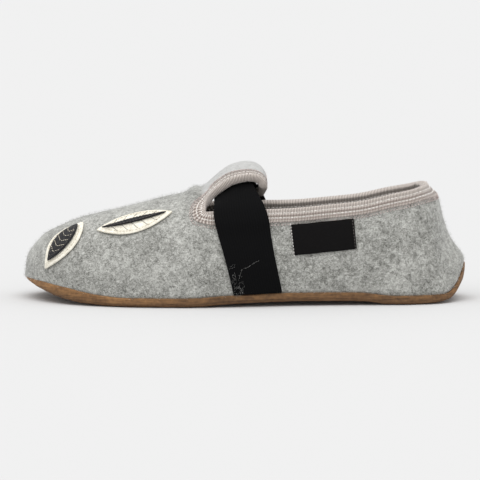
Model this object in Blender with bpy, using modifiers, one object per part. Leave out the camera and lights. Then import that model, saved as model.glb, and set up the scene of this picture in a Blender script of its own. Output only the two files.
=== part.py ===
"""A child's felt slipper for the left foot, standing empty on its rubber sole.

The toe points along -X, the outer side of the foot is -Y, and the floor is Z = 0. Every piece is
worked out from the same outline of the last, so a change of length, width or height moves them all.
"""

import math
from collections import namedtuple

import bmesh
import bpy
import numpy as np
from mathutils import Vector

# Driving sizes in metres.
MM = 0.001
LENGTH = 200 * MM
BALL_WIDTH = 76 * MM
HEEL_WIDTH = 56 * MM
TOE_HEIGHT = 33 * MM
INSTEP_HEIGHT = 53 * MM
COLLAR_HEIGHT = 42 * MM
HEEL_HEIGHT = 52.5 * MM
FELT = 3 * MM
GAP = 0.3 * MM

# The sole.
TOE_SPRING = 6 * MM
ARCH = 2.7 * MM
SOLE_EDGE = 4.2 * MM
SOLE_FLOOR = 3.2 * MM
TOE_CURL = 4 * MM
HEEL_CUP = 12.5 * MM
SIDE_CURL = 1.5 * MM
TOE_CURL_REACH = 12 * MM
HEEL_CURL_REACH = 14 * MM
SIDE_CURL_REACH = 3 * MM
LIP_BEYOND_FELT = 0.4 * MM
LAND = LIP_BEYOND_FELT + FELT + 0.4 * MM
INSOLE_THICK = 2 * MM
INSOLE_CLEAR = 1.2 * MM
FLOOR_SLOPE = 1 * MM
END_ZONE = 0.175
TOE_ARC = 0.7
HEEL_ARC = 0.45
HEEL_WRAP_ARC = 1.0
HEEL_ROUNDNESS = 0.5
HEEL_CENTRE = 0.35 * LENGTH

# The upper.
FELT_SKIRT = 2 * MM
SIDE_LEAN = 7 * MM
HEEL_LEAN = 17.5 * MM
NOTCH_AT = 0.41
SLOT_HEIGHT = 3.2 * MM
NEAR_NOTCH = 3 * MM
WALL_BLEND = 0.45
VAMP_ROUNDNESS = 2.3
FLAP_LENGTH = 28 * MM
FLAP_RISE = 9.5 * MM
FLAP_CROWN = 9.5 * MM
FLAP_TIP_FLATNESS = 0.6
FLAP_FLATTENS_AT = 0.5
FLAP_TIP_RADIUS = 9 * MM
FLAP_BLEND = 0.2
NOTCH_BLEND = 0.25

# The binding, the strap, the label and the applique.
TAPE_DEPTH = 5.4 * MM
TAPE_THICK = 0.8 * MM
TAPE_GAP = 0.4 * MM
TAPE_GAP_INSIDE = 0.7 * MM
STRAP_WIDTH = 21.5 * MM
STRAP_THICK = 1.2 * MM
STRAP_AT = 0.525
STRAP_TILT = math.radians(12.5)
STRAP_ABOVE_SOLE = 0.8 * MM
STRAP_LIFT = 1.8 * TAPE_DEPTH
STRAP_LIFT_DONE = 1.1 * TAPE_DEPTH
STRAP_SHOULDER = math.radians(65)
LABEL_SLANT = 0.08
LABEL_LENGTH = 28 * MM
LABEL_HEIGHT = 13.4 * MM
LABEL_THICK = 0.7 * MM
LABEL_AT = 0.675
APPLIQUE_THICK = 0.9 * MM
VAMP_LEAF_LENGTH = 34 * MM
VAMP_LEAF_WIDTH = 13 * MM
TOE_LEAF_LENGTH = 27 * MM
TOE_LEAF_WIDTH = 12.5 * MM
VEIN_LENGTH_SHARE = 0.85
VEIN_WIDTH_SHARE = 0.17
MIDDLE_LENGTH_SHARE = 0.76
MIDDLE_WIDTH_SHARE = 0.60
LEAF_FULLNESS = 1.0

SIDES = {"outer": -1, "inner": 1}

# Half-widths from the centre line: shares of the ball or heel width at shares of the length.
Outline = namedtuple("Outline", "at width outer inner")
OUTLINE = [
    Outline(0.00, BALL_WIDTH, -0.092, 0.092),
    Outline(0.02, BALL_WIDTH, 0.092, 0.276),
    Outline(0.05, BALL_WIDTH, 0.211, 0.355),
    Outline(0.10, BALL_WIDTH, 0.329, 0.421),
    Outline(0.18, BALL_WIDTH, 0.428, 0.480),
    Outline(0.28, BALL_WIDTH, 0.487, 0.500),
    Outline(0.38, BALL_WIDTH, 0.500, 0.467),
    Outline(0.50, BALL_WIDTH, 0.454, 0.388),
    Outline(0.62, BALL_WIDTH, 0.401, 0.355),
    Outline(0.75, HEEL_WIDTH, 0.500, 0.491),
    Outline(0.85, HEEL_WIDTH, 0.482, 0.500),
    Outline(0.92, HEEL_WIDTH, 0.428, 0.456),
    Outline(0.97, HEEL_WIDTH, 0.286, 0.322),
    Outline(1.00, HEEL_WIDTH, -0.018, 0.018),
]

# Heights along the length: a share of the size that each row follows.
Height = namedtuple("Height", "at size share")
SOLE_LINE = [
    Height(0.000, TOE_SPRING, 1.00),
    Height(0.050, TOE_SPRING, 0.61),
    Height(0.100, TOE_SPRING, 0.31),
    Height(0.150, TOE_SPRING, 0.11),
    Height(0.225, TOE_SPRING, 0.00),
    Height(0.375, ARCH, 0.00),
    Height(0.465, ARCH, 0.60),
    Height(0.620, ARCH, 1.00),
    Height(0.760, ARCH, 0.85),
    Height(0.830, ARCH, 0.00),
    Height(1.000, ARCH, 0.00),
]
RIM_LINE = [
    Height(0.00, SOLE_EDGE, 1.05),
    Height(0.05, SOLE_EDGE, 1.30),
    Height(0.10, SOLE_EDGE, 1.38),
    Height(0.17, SOLE_EDGE, 1.14),
    Height(0.23, SOLE_EDGE, 1.00),
    Height(1.00, SOLE_EDGE, 1.00),
]
CREST_LINE = [
    Height(0.0055, TOE_HEIGHT, 0.58),
    Height(0.0260, TOE_HEIGHT, 0.75),
    Height(0.0465, TOE_HEIGHT, 0.88),
    Height(0.0800, TOE_HEIGHT, 0.99),
    Height(0.1250, TOE_HEIGHT, 1.10),
    Height(0.1700, INSTEP_HEIGHT, 0.730),
    Height(0.2600, INSTEP_HEIGHT, 0.815),
    Height(0.3525, INSTEP_HEIGHT, 0.910),
    Height(0.4100, INSTEP_HEIGHT, 1.000),
    Height(1.0000, INSTEP_HEIGHT, 1.000),
]
COLLAR_LINE = [
    Height(0.41, COLLAR_HEIGHT, 0.985),
    Height(0.54, COLLAR_HEIGHT, 1.005),
    Height(0.60, COLLAR_HEIGHT, 1.010),
    Height(0.685, COLLAR_HEIGHT, 1.043),
    Height(0.76, COLLAR_HEIGHT, 1.080),
    Height(0.83, HEEL_HEIGHT, 0.922),
    Height(0.88, HEEL_HEIGHT, 0.952),
    Height(0.92, HEEL_HEIGHT, 0.980),
    Height(1.00, HEEL_HEIGHT, 1.000),
]

# How far the wall leans in from the outline, from the sole (up = 0) to the collar (up = 1).
Lean = namedtuple("Lean", "up side heel")
LEAN = [
    Lean(0.00, 0.00, 0.00),
    Lean(0.05, 0.00, 0.00),
    Lean(0.14, -0.05, 0.11),
    Lean(0.31, 0.00, 0.36),
    Lean(0.47, 0.16, 0.50),
    Lean(0.66, 0.42, 0.60),
    Lean(0.82, 0.68, 0.67),
    Lean(0.92, 0.86, 0.86),
    Lean(1.00, 1.00, 1.00),
]

# The flap's middle line from the notches to its curled tip, and its half-width there.
Flap = namedtuple("Flap", "along forward rise width")
FLAP = [
    Flap(0.000, 0.000, 0.00, 1.00),
    Flap(0.094, 0.107, 0.25, 0.80),
    Flap(0.206, 0.239, 0.54, 0.75),
    Flap(0.367, 0.446, 0.87, 0.74),
    Flap(0.537, 0.700, 1.00, 0.73),
    Flap(0.624, 0.821, 0.92, 0.72),
    Flap(0.707, 0.921, 0.71, 0.71),
    Flap(0.795, 0.982, 0.37, 0.69),
    Flap(0.868, 0.993, 0.05, 0.67),
    Flap(0.943, 0.971, -0.26, 0.64),
    Flap(1.000, 0.936, -0.46, 0.60),
]

# Leaf-shaped applique: centre, size and turn on the vamp, and the layer that each lies on.
Leaf = namedtuple("Leaf", "name at around length width turn layer material")
LEAVES = [
    Leaf("vamp_leaf", 0.255, 0.300, VAMP_LEAF_LENGTH, VAMP_LEAF_WIDTH, 4, 0, "cream_felt"),
    Leaf("vamp_leaf_vein", 0.255, 0.300, VAMP_LEAF_LENGTH * VEIN_LENGTH_SHARE,
         VAMP_LEAF_WIDTH * VEIN_WIDTH_SHARE, 4, 1, "black_felt"),
    Leaf("toe_leaf", 0.097, 0.250, TOE_LEAF_LENGTH, TOE_LEAF_WIDTH, 52, 0, "cream_felt"),
    Leaf("toe_leaf_middle", 0.097, 0.250, TOE_LEAF_LENGTH * MIDDLE_LENGTH_SHARE,
         TOE_LEAF_WIDTH * MIDDLE_WIDTH_SHARE, 52, 1, "black_felt"),
]

# Base colour, roughness and metallic value of each material.
MATERIALS = {
    "grey_felt": ((0.50, 0.48, 0.46), 0.95, 0.0),
    "knit_tape": ((0.42, 0.33, 0.29), 0.90, 0.0),
    "black_elastic": ((0.018, 0.018, 0.020), 0.80, 0.0),
    "woven_label": ((0.015, 0.015, 0.017), 0.75, 0.0),
    "cream_felt": ((0.72, 0.66, 0.54), 0.95, 0.0),
    "black_felt": ((0.020, 0.020, 0.022), 0.95, 0.0),
    "tan_rubber": ((0.38, 0.19, 0.085), 0.60, 0.0),
    "footbed_felt": ((0.33, 0.31, 0.30), 0.95, 0.0),
}

# Sections along the shoe, as angles: 0 is the toe tip and pi the back of the heel.
VAMP_SECTIONS = 14
ACROSS_STEPS = 4
QUARTER_STEPS = 6
QUARTER_SECTIONS = 20
CROWN_STEPS = 8
FLAP_SECTIONS = 16
TAPE_ROWS = (0.0, 0.5, 1.0)
SMALL = 1e-4
PART_STEP = 0.004


def smooth(knots, values, at):
    """Read a smooth curve that passes through the values and never overshoots them."""
    knots = np.asarray(knots, float)
    values = np.asarray(values, float)
    steps = np.diff(knots)
    slopes = np.diff(values) / steps
    tangents = np.zeros_like(values)
    tangents[0] = slopes[0]
    tangents[-1] = slopes[-1]
    for k in range(1, len(values) - 1):
        if slopes[k - 1] * slopes[k] > 0:
            tangents[k] = 2 * slopes[k - 1] * slopes[k] / (slopes[k - 1] + slopes[k])
    at = float(np.clip(at, knots[0], knots[-1]))
    k = int(np.clip(np.searchsorted(knots, at, side="right") - 1, 0, len(steps) - 1))
    t = (at - knots[k]) / steps[k]
    start = (1 + 2 * t) * (1 - t) ** 2 * values[k] + t * (1 - t) ** 2 * steps[k] * tangents[k]
    end = t * t * (3 - 2 * t) * values[k + 1] + t * t * (t - 1) * steps[k] * tangents[k + 1]
    return float(start + end)


def ease(value):
    """Go from 0 to 1 with level ends."""
    value = min(max(value, 0.0), 1.0)
    return value * value * (3 - 2 * value)


def between(first, second, part):
    return first + (second - first) * part


def turn_at(share):
    """Turn a share of the length into the angle of its section, so that both ends stay round."""
    return math.acos(1 - 2 * min(max(share, 0.0), 1.0))


def x_at(turn):
    return -LENGTH / 2 * math.cos(turn)


def turn_of(x):
    return turn_at(x / LENGTH + 0.5)


def height(line, share):
    """Read one of the tables of heights at a share of the length."""
    turns = [turn_at(row.at) for row in line]
    return smooth(turns, [row.size * row.share for row in line], turn_at(share))


def half_width(side, turn):
    turns = [turn_at(row.at) for row in OUTLINE]
    widths = [row.width * getattr(row, side) for row in OUTLINE]
    return smooth(turns, widths, turn)


def outline_point(side, turn, inset):
    """A point of the outline in plan, moved inwards along the outline's own normal."""
    sign = SIDES[side]
    point = np.array([x_at(turn), sign * half_width(side, turn)])
    ahead = np.array([x_at(turn + SMALL), sign * half_width(side, turn + SMALL)])
    behind = np.array([x_at(turn - SMALL), sign * half_width(side, turn - SMALL)])
    along = (ahead - behind) / np.linalg.norm(ahead - behind)
    inwards = sign * np.array([along[1], -along[0]])
    return point + inwards * inset


def toe_part(turn):
    """1 at the toe tip, 0 along the sides."""
    return 1 - ease(turn / TOE_ARC)


def heel_part(turn):
    """1 at the back of the heel, 0 along the sides."""
    return 1 - ease((math.pi - turn) / HEEL_ARC)


def heel_wrap(turn):
    """How much of the heel's own profile the wall has at this section."""
    return 1 - ease((math.pi - turn) / HEEL_WRAP_ARC)


def ground(x):
    """The middle of the sole's underside, with toe spring and arch."""
    return height(SOLE_LINE, x / LENGTH + 0.5)


def rim_height(turn):
    """The top of the sole's edge above the floor."""
    share = x_at(turn) / LENGTH + 0.5
    return ground(x_at(turn)) + height(RIM_LINE, share) + HEEL_CUP * heel_part(turn)


def feather(turn):
    """The height at which the felt starts."""
    return rim_height(turn) + GAP


def crest(turn):
    """The height of the ridge of the vamp. It meets the sole's edge at the toe tip."""
    first = CREST_LINE[0]
    first_turn = turn_at(first.at)
    if turn < first_turn:
        return between(feather(0.0), first.size * first.share, turn / first_turn)
    return height(CREST_LINE, x_at(turn) / LENGTH + 0.5)


def collar(turn):
    return height(COLLAR_LINE, x_at(turn) / LENGTH + 0.5)


NOTCH_TURN = turn_at(NOTCH_AT)
NOTCH_X = x_at(NOTCH_TURN)


def felt_edge(side, turn):
    """Where the outer face of the felt stands at the sole, measured across."""
    return SIDES[side] * (half_width(side, turn) - LIP_BEYOND_FELT)


def vamp_point(turn, around):
    """A point of the vamp's section: around is 0 at the outer sole edge and pi at the inner one."""
    low = feather(turn)
    power = 2 / VAMP_ROUNDNESS
    middle = (felt_edge("outer", turn) + felt_edge("inner", turn)) / 2
    ridge = between(middle, 0.0, ease(turn / NOTCH_TURN))
    side = "outer" if around <= math.pi / 2 else "inner"
    across = abs(math.cos(around)) ** power
    y = between(ridge, felt_edge(side, turn), across)
    z = between(low, crest(turn), abs(math.sin(around)) ** power)
    return np.array([x_at(turn), y, z])


def around_at_height(side, z):
    """The angle round the notch section at which the felt has this height."""
    share = (z - feather(NOTCH_TURN)) / (crest(NOTCH_TURN) - feather(NOTCH_TURN))
    angle = math.asin(max(share, 0.0) ** (VAMP_ROUNDNESS / 2))
    return angle if side == "outer" else math.pi - angle


def around_at_width(side, y):
    """The angle round the notch section at which the felt is this far from the middle."""
    share = abs(y / felt_edge(side, NOTCH_TURN))
    angle = math.acos(share ** (VAMP_ROUNDNESS / 2))
    return angle if side == "outer" else math.pi - angle


def wall_point(side, turn, z):
    """A point of the quarter's outer face: the vamp's section near the notch, then the leaning wall."""
    low = feather(turn)
    up = (z - low) / (collar(turn) - low)
    ups = [row.up for row in LEAN]
    at_side = SIDE_LEAN * smooth(ups, [row.side for row in LEAN], up)
    at_heel = HEEL_LEAN * smooth(ups, [row.heel for row in LEAN], up)
    lean = LIP_BEYOND_FELT + between(at_side, at_heel, heel_wrap(turn))
    wall = outline_point(side, turn, lean)
    share = min(max((z - low) / (crest(turn) - low), 0.0), 1.0)
    section = np.array([x_at(turn), felt_edge(side, turn)])
    section[1] *= (1 - share**VAMP_ROUNDNESS) ** (1 / VAMP_ROUNDNESS)
    x, y = between(section, wall, ease((turn - NOTCH_TURN) / WALL_BLEND))
    return np.array([x, y, z])


def notch_corner(side, part):
    """A point of the notch's blind end, from its lower corner (part 0) to its upper one (part 1)."""
    return around_at_height(side, collar(NOTCH_TURN) + SLOT_HEIGHT * part)


def flap_half_width(side):
    return abs(vamp_point(NOTCH_TURN, notch_corner(side, 1.0))[1])


def flap_line(along, column, size):
    return size * smooth([row.along for row in FLAP], [getattr(row, column) for row in FLAP], along)


def flap_path_length():
    """The length of the flap's middle line over its rise and curl."""
    shares = np.linspace(0, 1, 60)
    points = [flap_middle(share)[[0, 2]] for share in shares]
    return float(np.sum(np.linalg.norm(np.diff(points, axis=0), axis=1)))


def flap_middle(along):
    x = NOTCH_X + flap_line(along, "forward", FLAP_LENGTH)
    z = crest(NOTCH_TURN) + flap_line(along, "rise", FLAP_RISE)
    return np.array([x, 0.0, z])


def flap_up(along):
    """The flap's upward normal on its middle line."""
    step = flap_middle(min(along + 0.01, 1.0)) - flap_middle(max(along - 0.01, 0.0))
    step /= np.linalg.norm(step)
    return np.array([-step[2], 0.0, step[0]])


def flap_point(along, y):
    """A point of the flap's outer face: arched across, and one with the vamp where it starts."""
    side = "outer" if y < 0 else "inner"
    drop = np.array([0.0, 0.0, FLAP_CROWN * (y / flap_half_width(side)) ** 2])
    flatter = FLAP_TIP_FLATNESS * ease((along - FLAP_FLATTENS_AT) / (1 - FLAP_FLATTENS_AT))
    point = flap_middle(along) - drop * (1 - flatter)
    start = flap_middle(0.0) - drop
    section = vamp_point(NOTCH_TURN, around_at_width(side, y))
    point += (section - start) * (1 - ease(along / FLAP_BLEND))
    point[1] = y
    return point


def flap_flat(side, part, inwards):
    """Place on the unrolled flap, in from its edge: share along it, and distance across."""

    def flat(at):
        at = min(max(at, 0.0), 1.0)
        along = 1 - (1 - at) ** 2
        width = flap_half_width(side) * smooth([r.along for r in FLAP], [r.width for r in FLAP], along)
        from_tip = (1 - along) * FLAP_PATH / FLAP_TIP_RADIUS
        if from_tip < 1:
            width *= math.sqrt(max(1 - (1 - from_tip) ** 2, 0.0))
        return np.array([along * FLAP_PATH, SIDES[side] * width])

    step = flat(part + PART_STEP) - flat(part - PART_STEP)
    step /= np.linalg.norm(step)
    normal = SIDES[side] * np.array([step[1], -step[0]])
    normal[0] *= ease(part / NOTCH_BLEND)
    normal /= np.linalg.norm(normal)
    if part == 1:
        normal = np.array([-1.0, 0.0])
    along, y = flat(part) + normal * inwards
    return along / FLAP_PATH, y


def flap_edge(side, part, inwards):
    """A point of the flap at a distance in from its edge; part runs from the notch to the tip."""
    return flap_point(*flap_flat(side, part, inwards))


FLAP_PATH = flap_path_length()


def add_rows(points, rows):
    """Store rows of points and return the rows of their indices."""
    indices = []
    for row in rows:
        indices.append(list(range(len(points), len(points) + len(row))))
        points.extend(row)
    return indices


def strip(faces, first, second, closed=False):
    """Join two rows of indices by faces, leaving out a corner that a pole repeats."""
    count = len(first)
    for k in range(count if closed else count - 1):
        after = (k + 1) % count
        corners = (first[k], first[after], second[after], second[k])
        distinct = list(dict.fromkeys(corners))
        if len(distinct) > 2:
            faces.append(distinct)


def add_object(name, points, faces, material):
    """Make a mesh object whose faces point outwards where it is closed."""
    mesh = bpy.data.meshes.new(name)
    mesh.from_pydata([tuple(map(float, point)) for point in points], [], faces)
    made = bmesh.new()
    made.from_mesh(mesh)
    bmesh.ops.recalc_face_normals(made, faces=made.faces)
    made.to_mesh(mesh)
    made.free()
    mesh.shade_smooth()
    mesh.set_sharp_from_angle(angle=math.radians(40))
    mesh.materials.append(bpy.data.materials[material])
    obj = bpy.data.objects.new(name, mesh)
    bpy.data.collections["felt_slipper"].objects.link(obj)
    return obj


def face_towards(obj, direction):
    """Turn an open surface round if most of its faces look away from the direction."""
    total = sum((face.normal * face.area for face in obj.data.polygons), Vector())
    if total.dot(Vector(direction)) < 0:
        obj.data.flip_normals()


def add_wall(obj, thickness):
    """Give an open surface its thickness, inwards from the face that was modelled."""
    wall = obj.modifiers.new("wall", "SOLIDIFY")
    wall.thickness = thickness
    wall.offset = -1
    wall.use_rim = True
    return wall


def quarter_turns():
    """Sections of the quarters behind the notch, the first one close to it."""
    close = turn_of(NOTCH_X + NEAR_NOTCH)
    return [close] + list(np.linspace(NOTCH_TURN, math.pi, QUARTER_SECTIONS + 1)[1:])


def flap_parts():
    """Steps along the flap's edge, the first one close to the notch."""
    return [0.0, 0.5 / FLAP_SECTIONS] + list(np.linspace(0, 1, FLAP_SECTIONS + 1)[1:])


def station_turns():
    """The angles of all sections, from the toe to the heel, with one at the notch."""
    return list(np.linspace(0, NOTCH_TURN, VAMP_SECTIONS + 1)) + quarter_turns()


def round_the_shoe():
    """Side and angle of every point of a loop, outer side first, from the toe and back to it."""
    turns = station_turns()
    loop = [("outer", turn) for turn in turns]
    loop += [("inner", turn) for turn in turns[-2:0:-1]]
    return loop


def fill_across(points, faces, loop, height_at):
    """Close a loop round the shoe with cross strips whose height a function gives."""
    steps = ACROSS_STEPS
    half = len(loop) // 2
    before = [loop[0]] * (steps + 1)
    for k in range(1, half + 1):
        if k == half:
            row = [loop[half]] * (steps + 1)
        else:
            start = np.array(points[loop[k]])
            end = np.array(points[loop[-k]])
            middle = []
            for step in range(1, steps):
                point = between(start, end, step / steps)
                point[2] = height_at(point[0])
                middle.append(point)
            row = [loop[k]] + add_rows(points, [middle])[0] + [loop[-k]]
        strip(faces, before, row)
        before = row


def curl_height(turn):
    """How high the underside has come up where it meets the outline."""
    curl = between(SIDE_CURL, TOE_CURL, toe_part(turn))
    return between(curl, SIDE_CURL + HEEL_CUP, heel_part(turn))


def pulled_point(side, turn, inset, toe_pull, heel_pull):
    """A point inside the outline, drawn further back from the toe and the heel by a smooth amount."""
    x, y = outline_point(side, turn, inset)
    zone = END_ZONE * LENGTH
    from_toe = max(zone - LENGTH / 2 - x, 0.0) / zone
    from_heel = max(x - LENGTH / 2 + zone, 0.0) / zone
    return x + toe_pull * from_toe**2 - heel_pull * from_heel**2, y


def sole_ring(inset, toe_pull, heel_pull, height_at):
    ring = []
    for side, turn in round_the_shoe():
        x, y = pulled_point(side, turn, inset, toe_pull, heel_pull)
        ring.append(np.array([x, y, height_at(x, turn)]))
    return ring


def curled_ring(part):
    """A ring of the underside: part 0 is where it leaves the ground, part 1 is the outline."""

    def height_at(x, turn):
        roundness = between(1.0, HEEL_ROUNDNESS, heel_part(turn))
        return ground(x) + curl_height(turn) * (1 - (1 - part**2) ** roundness)

    left = 1 - part
    toe_pull = TOE_CURL_REACH - SIDE_CURL_REACH
    heel_pull = HEEL_CURL_REACH - SIDE_CURL_REACH
    return sole_ring(SIDE_CURL_REACH * left, toe_pull * left, heel_pull * left, height_at)


def floor_ring(clearance, level):
    """A ring inside the land that carries the felt, drawn in at the heel where the cup is deep."""
    inset = LAND + FLOOR_SLOPE
    heel_pull = HEEL_CURL_REACH - inset
    return sole_ring(inset + clearance, 0.0, heel_pull, lambda x, turn: ground(x) + level)


def add_outsole():
    """The rubber sole: curled underside, lip, the land under the felt and a sunk floor."""
    rings = [curled_ring(part) for part in (0.0, 0.45, 0.75, 0.93, 1.0)]
    rings.append(sole_ring(0.0, 0.0, 0.0, lambda x, turn: rim_height(turn)))
    rings.append(sole_ring(LAND, 0.0, 0.0, lambda x, turn: rim_height(turn)))
    rings.append(floor_ring(0.0, SOLE_FLOOR))
    points = []
    faces = []
    loops = add_rows(points, rings)
    for first, second in zip(loops, loops[1:]):
        strip(faces, first, second, closed=True)
    fill_across(points, faces, loops[0], ground)
    fill_across(points, faces, loops[-1], lambda x: ground(x) + SOLE_FLOOR)
    return add_object("outsole", points, faces, "tan_rubber")


def add_insole():
    """The footbed on the sole's floor, clear of the felt wall."""
    lower = SOLE_FLOOR + GAP
    upper = lower + INSOLE_THICK
    points = []
    faces = []
    loops = add_rows(points, [floor_ring(INSOLE_CLEAR, lower), floor_ring(INSOLE_CLEAR, upper)])
    strip(faces, loops[0], loops[1], closed=True)
    fill_across(points, faces, loops[0], lambda x: ground(x) + lower)
    fill_across(points, faces, loops[1], lambda x: ground(x) + upper)
    return add_object("insole", points, faces, "footbed_felt")


def vamp_turns():
    """Sections of the vamp, the last few spaced like the rows under the tape."""
    plain = np.linspace(0, turn_of(NOTCH_X - 2 * TAPE_DEPTH), VAMP_SECTIONS)
    near = [turn_of(NOTCH_X - TAPE_DEPTH * share) for share in (1.0, 0.5, 0.0)]
    return list(plain) + near


def wall_heights(turn):
    """The heights of a quarter's rows: a short upright skirt, even steps, then the rows under the tape."""
    skirt = feather(turn) + FELT_SKIRT
    top = collar(turn)
    body = list(np.linspace(skirt, top - TAPE_DEPTH, QUARTER_STEPS + 1))
    return [feather(turn)] + body + [top - TAPE_DEPTH / 2, top]


def notch_angles():
    """The angles of the notch section's points, from the outer sole edge to the inner one."""
    halves = {}
    for side in SIDES:
        lower = [around_at_height(side, z) for z in wall_heights(NOTCH_TURN)]
        slot = [notch_corner(side, part) for part in (0.5, 1.0)]
        y = flap_half_width(side)
        under_tape = [around_at_width(side, y - TAPE_DEPTH * share) for share in (0.5, 1.0)]
        halves[side] = lower + slot + under_tape
    crown = np.linspace(halves["outer"][-1], halves["inner"][-1], CROWN_STEPS + 1)
    return halves["outer"] + list(crown[1:-1]) + halves["inner"][::-1]


def quarter_columns(points, first, last):
    """Columns of the quarters from the outer notch round the heel to the inner notch."""
    turns = quarter_turns()
    route = [("outer", turn) for turn in turns] + [("inner", turn) for turn in turns[-2::-1]]
    columns = [[wall_point(side, turn, z) for z in wall_heights(turn)] for side, turn in route]
    return [first] + add_rows(points, columns) + [last]


def flap_rows(points, notch_row):
    """The flap's rows along its edge, and its sections between them."""
    parts = flap_parts()
    last = len(parts) - 1
    route = [("outer", part) for part in parts[1:]]
    route += [("inner", part) for part in parts[-2:0:-1]]
    columns = [[flap_edge(side, part, TAPE_DEPTH * row) for row in TAPE_ROWS] for side, part in route]
    reach = len(TAPE_ROWS)
    edge = [notch_row[:reach]] + add_rows(points, columns) + [notch_row[: -reach - 1 : -1]]
    sections = [notch_row[reach - 1 : len(notch_row) - reach + 1]]
    for k in range(1, last):
        start = np.array(flap_flat("outer", parts[k], TAPE_DEPTH))
        end = np.array(flap_flat("inner", parts[k], TAPE_DEPTH))
        shares = np.arange(1, CROWN_STEPS) / CROWN_STEPS
        inside = [flap_point(*between(start, end, share)) for share in shares]
        sections.append([edge[k][-1]] + add_rows(points, [inside])[0] + [edge[-1 - k][-1]])
    sections.append([edge[last][-1]] * (CROWN_STEPS + 1))
    return edge, sections


def add_upper():
    """The felt shell: vamp, quarters and flap as one open surface with a wall."""
    points = []
    faces = []
    angles = notch_angles()
    turns = vamp_turns()
    tip = add_rows(points, [[vamp_point(0.0, 0.0)]])[0][0]
    rows = [[vamp_point(turn, around) for around in angles] for turn in turns[1:]]
    vamp = [[tip] * len(angles)] + add_rows(points, rows)
    for first, second in zip(vamp, vamp[1:]):
        strip(faces, first, second)
    notch = vamp[-1]
    low = len(wall_heights(NOTCH_TURN))
    columns = quarter_columns(points, notch[:low], notch[: -low - 1 : -1])
    for first, second in zip(columns, columns[1:]):
        strip(faces, first, second)
    edge, sections = flap_rows(points, notch[low + 1 : len(notch) - low - 1])
    for first, second in zip(edge, edge[1:]):
        strip(faces, first, second)
    for first, second in zip(sections, sections[1:]):
        strip(faces, first, second)
    upper = add_object("upper", points, faces, "grey_felt")
    face_towards(upper, (0, 0, 1))
    add_wall(upper, FELT)
    return upper


def surface_normal(point_at, first, second, step=SMALL):
    """The normal of a surface function at two parameters, turned away from the shoe's inside."""
    across = point_at(first + step, second) - point_at(first - step, second)
    up = point_at(first, second + step) - point_at(first, second - step)
    normal = np.cross(across, up)
    return normal / np.linalg.norm(normal)


def outwards(normal, direction):
    return normal if np.dot(normal, direction) > 0 else -normal


def wall_row(side, turn, depth):
    """Point and outward normal on a quarter at a depth below the collar."""
    z = collar(turn) - depth
    point = wall_point(side, turn, z)
    end = min(turn, math.pi - 2 * SMALL)
    top = collar(end) - 2 * SMALL

    def at(first, second):
        return wall_point(side, first, second)

    normal = surface_normal(at, end, min(z, top))
    return point, outwards(normal, (point[0] - min(point[0], HEEL_CENTRE), point[1], 0.0))


def notch_row(side, part, depth):
    """Point and outward normal on the vamp at a depth from the notch's blind end."""
    slant = math.radians(45) * (2 * part - 1)
    turn = turn_of(NOTCH_X - depth * math.cos(slant))
    here = notch_corner(side, part)
    start = vamp_point(NOTCH_TURN, here)
    ahead = vamp_point(NOTCH_TURN, here + SMALL)
    reach = np.linalg.norm(ahead - start) / SMALL
    upwards = 1 if side == "outer" else -1
    around = here + upwards * depth * math.sin(slant) / reach
    return vamp_point(turn, around), outwards(surface_normal(vamp_point, turn, around), (0, 0, 1))


def flap_row(side, part, depth):
    """Point and outward normal on the flap at a depth from its edge."""
    point = flap_edge(side, part, depth)
    near = min(max(part, 0.02), 0.995)

    def at(first, second):
        return flap_edge(side, first, second)

    normal = surface_normal(at, near, depth + SMALL, step=SMALL)
    return point, outwards(normal, flap_up(1 - (1 - part) ** 2))


def free_edge():
    """The rows of points and normals under the tape, all round the upper's free edge."""
    depths = [TAPE_DEPTH * row for row in TAPE_ROWS]
    quarters = quarter_turns()
    flap = flap_parts()[1:]
    slot = (0.0, 0.5, 1.0)
    rows = [[wall_row("outer", turn, depth) for depth in depths] for turn in quarters[::-1]]
    rows += [[notch_row("outer", part, depth) for depth in depths] for part in slot]
    rows += [[flap_row("outer", part, depth) for depth in depths] for part in flap]
    rows += [[flap_row("inner", part, depth) for depth in depths] for part in flap[-2::-1]]
    rows += [[notch_row("inner", part, depth) for depth in depths] for part in slot[::-1]]
    rows += [[wall_row("inner", turn, depth) for depth in depths] for turn in quarters[:-1]]
    return rows


def tape_section(row):
    """The folded tape across the edge: outer lip, rolled top and inner lip, as one closed ring."""
    points = [point for point, normal in row]
    normals = [normal for point, normal in row]
    beyond = points[0] - points[1]
    beyond /= np.linalg.norm(beyond)
    inside = -FELT - TAPE_GAP_INSIDE
    outer_face = [points[k] + normals[k] * (TAPE_GAP + TAPE_THICK) for k in (2, 1, 0)]
    inner_face = [points[k] + normals[k] * (inside - TAPE_THICK) for k in (0, 1, 2)]
    rise = TAPE_GAP_INSIDE + TAPE_THICK
    top = []
    for up, share in ((0.75, 0.0), (1.0, 0.5), (0.75, 1.0)):
        top.append(points[0] + beyond * rise * up + normals[0] * between(TAPE_GAP, inside, share))
    inner_back = [points[k] + normals[k] * inside for k in (2, 1, 0)]
    under_top = [points[0] + beyond * TAPE_GAP_INSIDE + normals[0] * offset for offset in (-FELT, 0.0)]
    outer_back = [points[k] + normals[k] * TAPE_GAP for k in (0, 1, 2)]
    return outer_face + top + inner_face + inner_back + under_top + outer_back


def add_binding():
    """The knit tape folded over the free edge, in one closed loop."""
    points = []
    faces = []
    rings = add_rows(points, [tape_section(row) for row in free_edge()])
    for first, second in zip(rings, rings[1:] + rings[:1]):
        strip(faces, first, second, closed=True)
    return add_object("collar_binding", points, faces, "knit_tape")


def wall_spot(x, z, offset):
    """A point off the outer quarter's face at a place seen from the side, and its outward normal."""
    turn = turn_of(x)
    z = min(z, collar(turn))
    point, normal = wall_row("outer", turn, collar(turn) - z)
    return point + normal * offset


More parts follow.
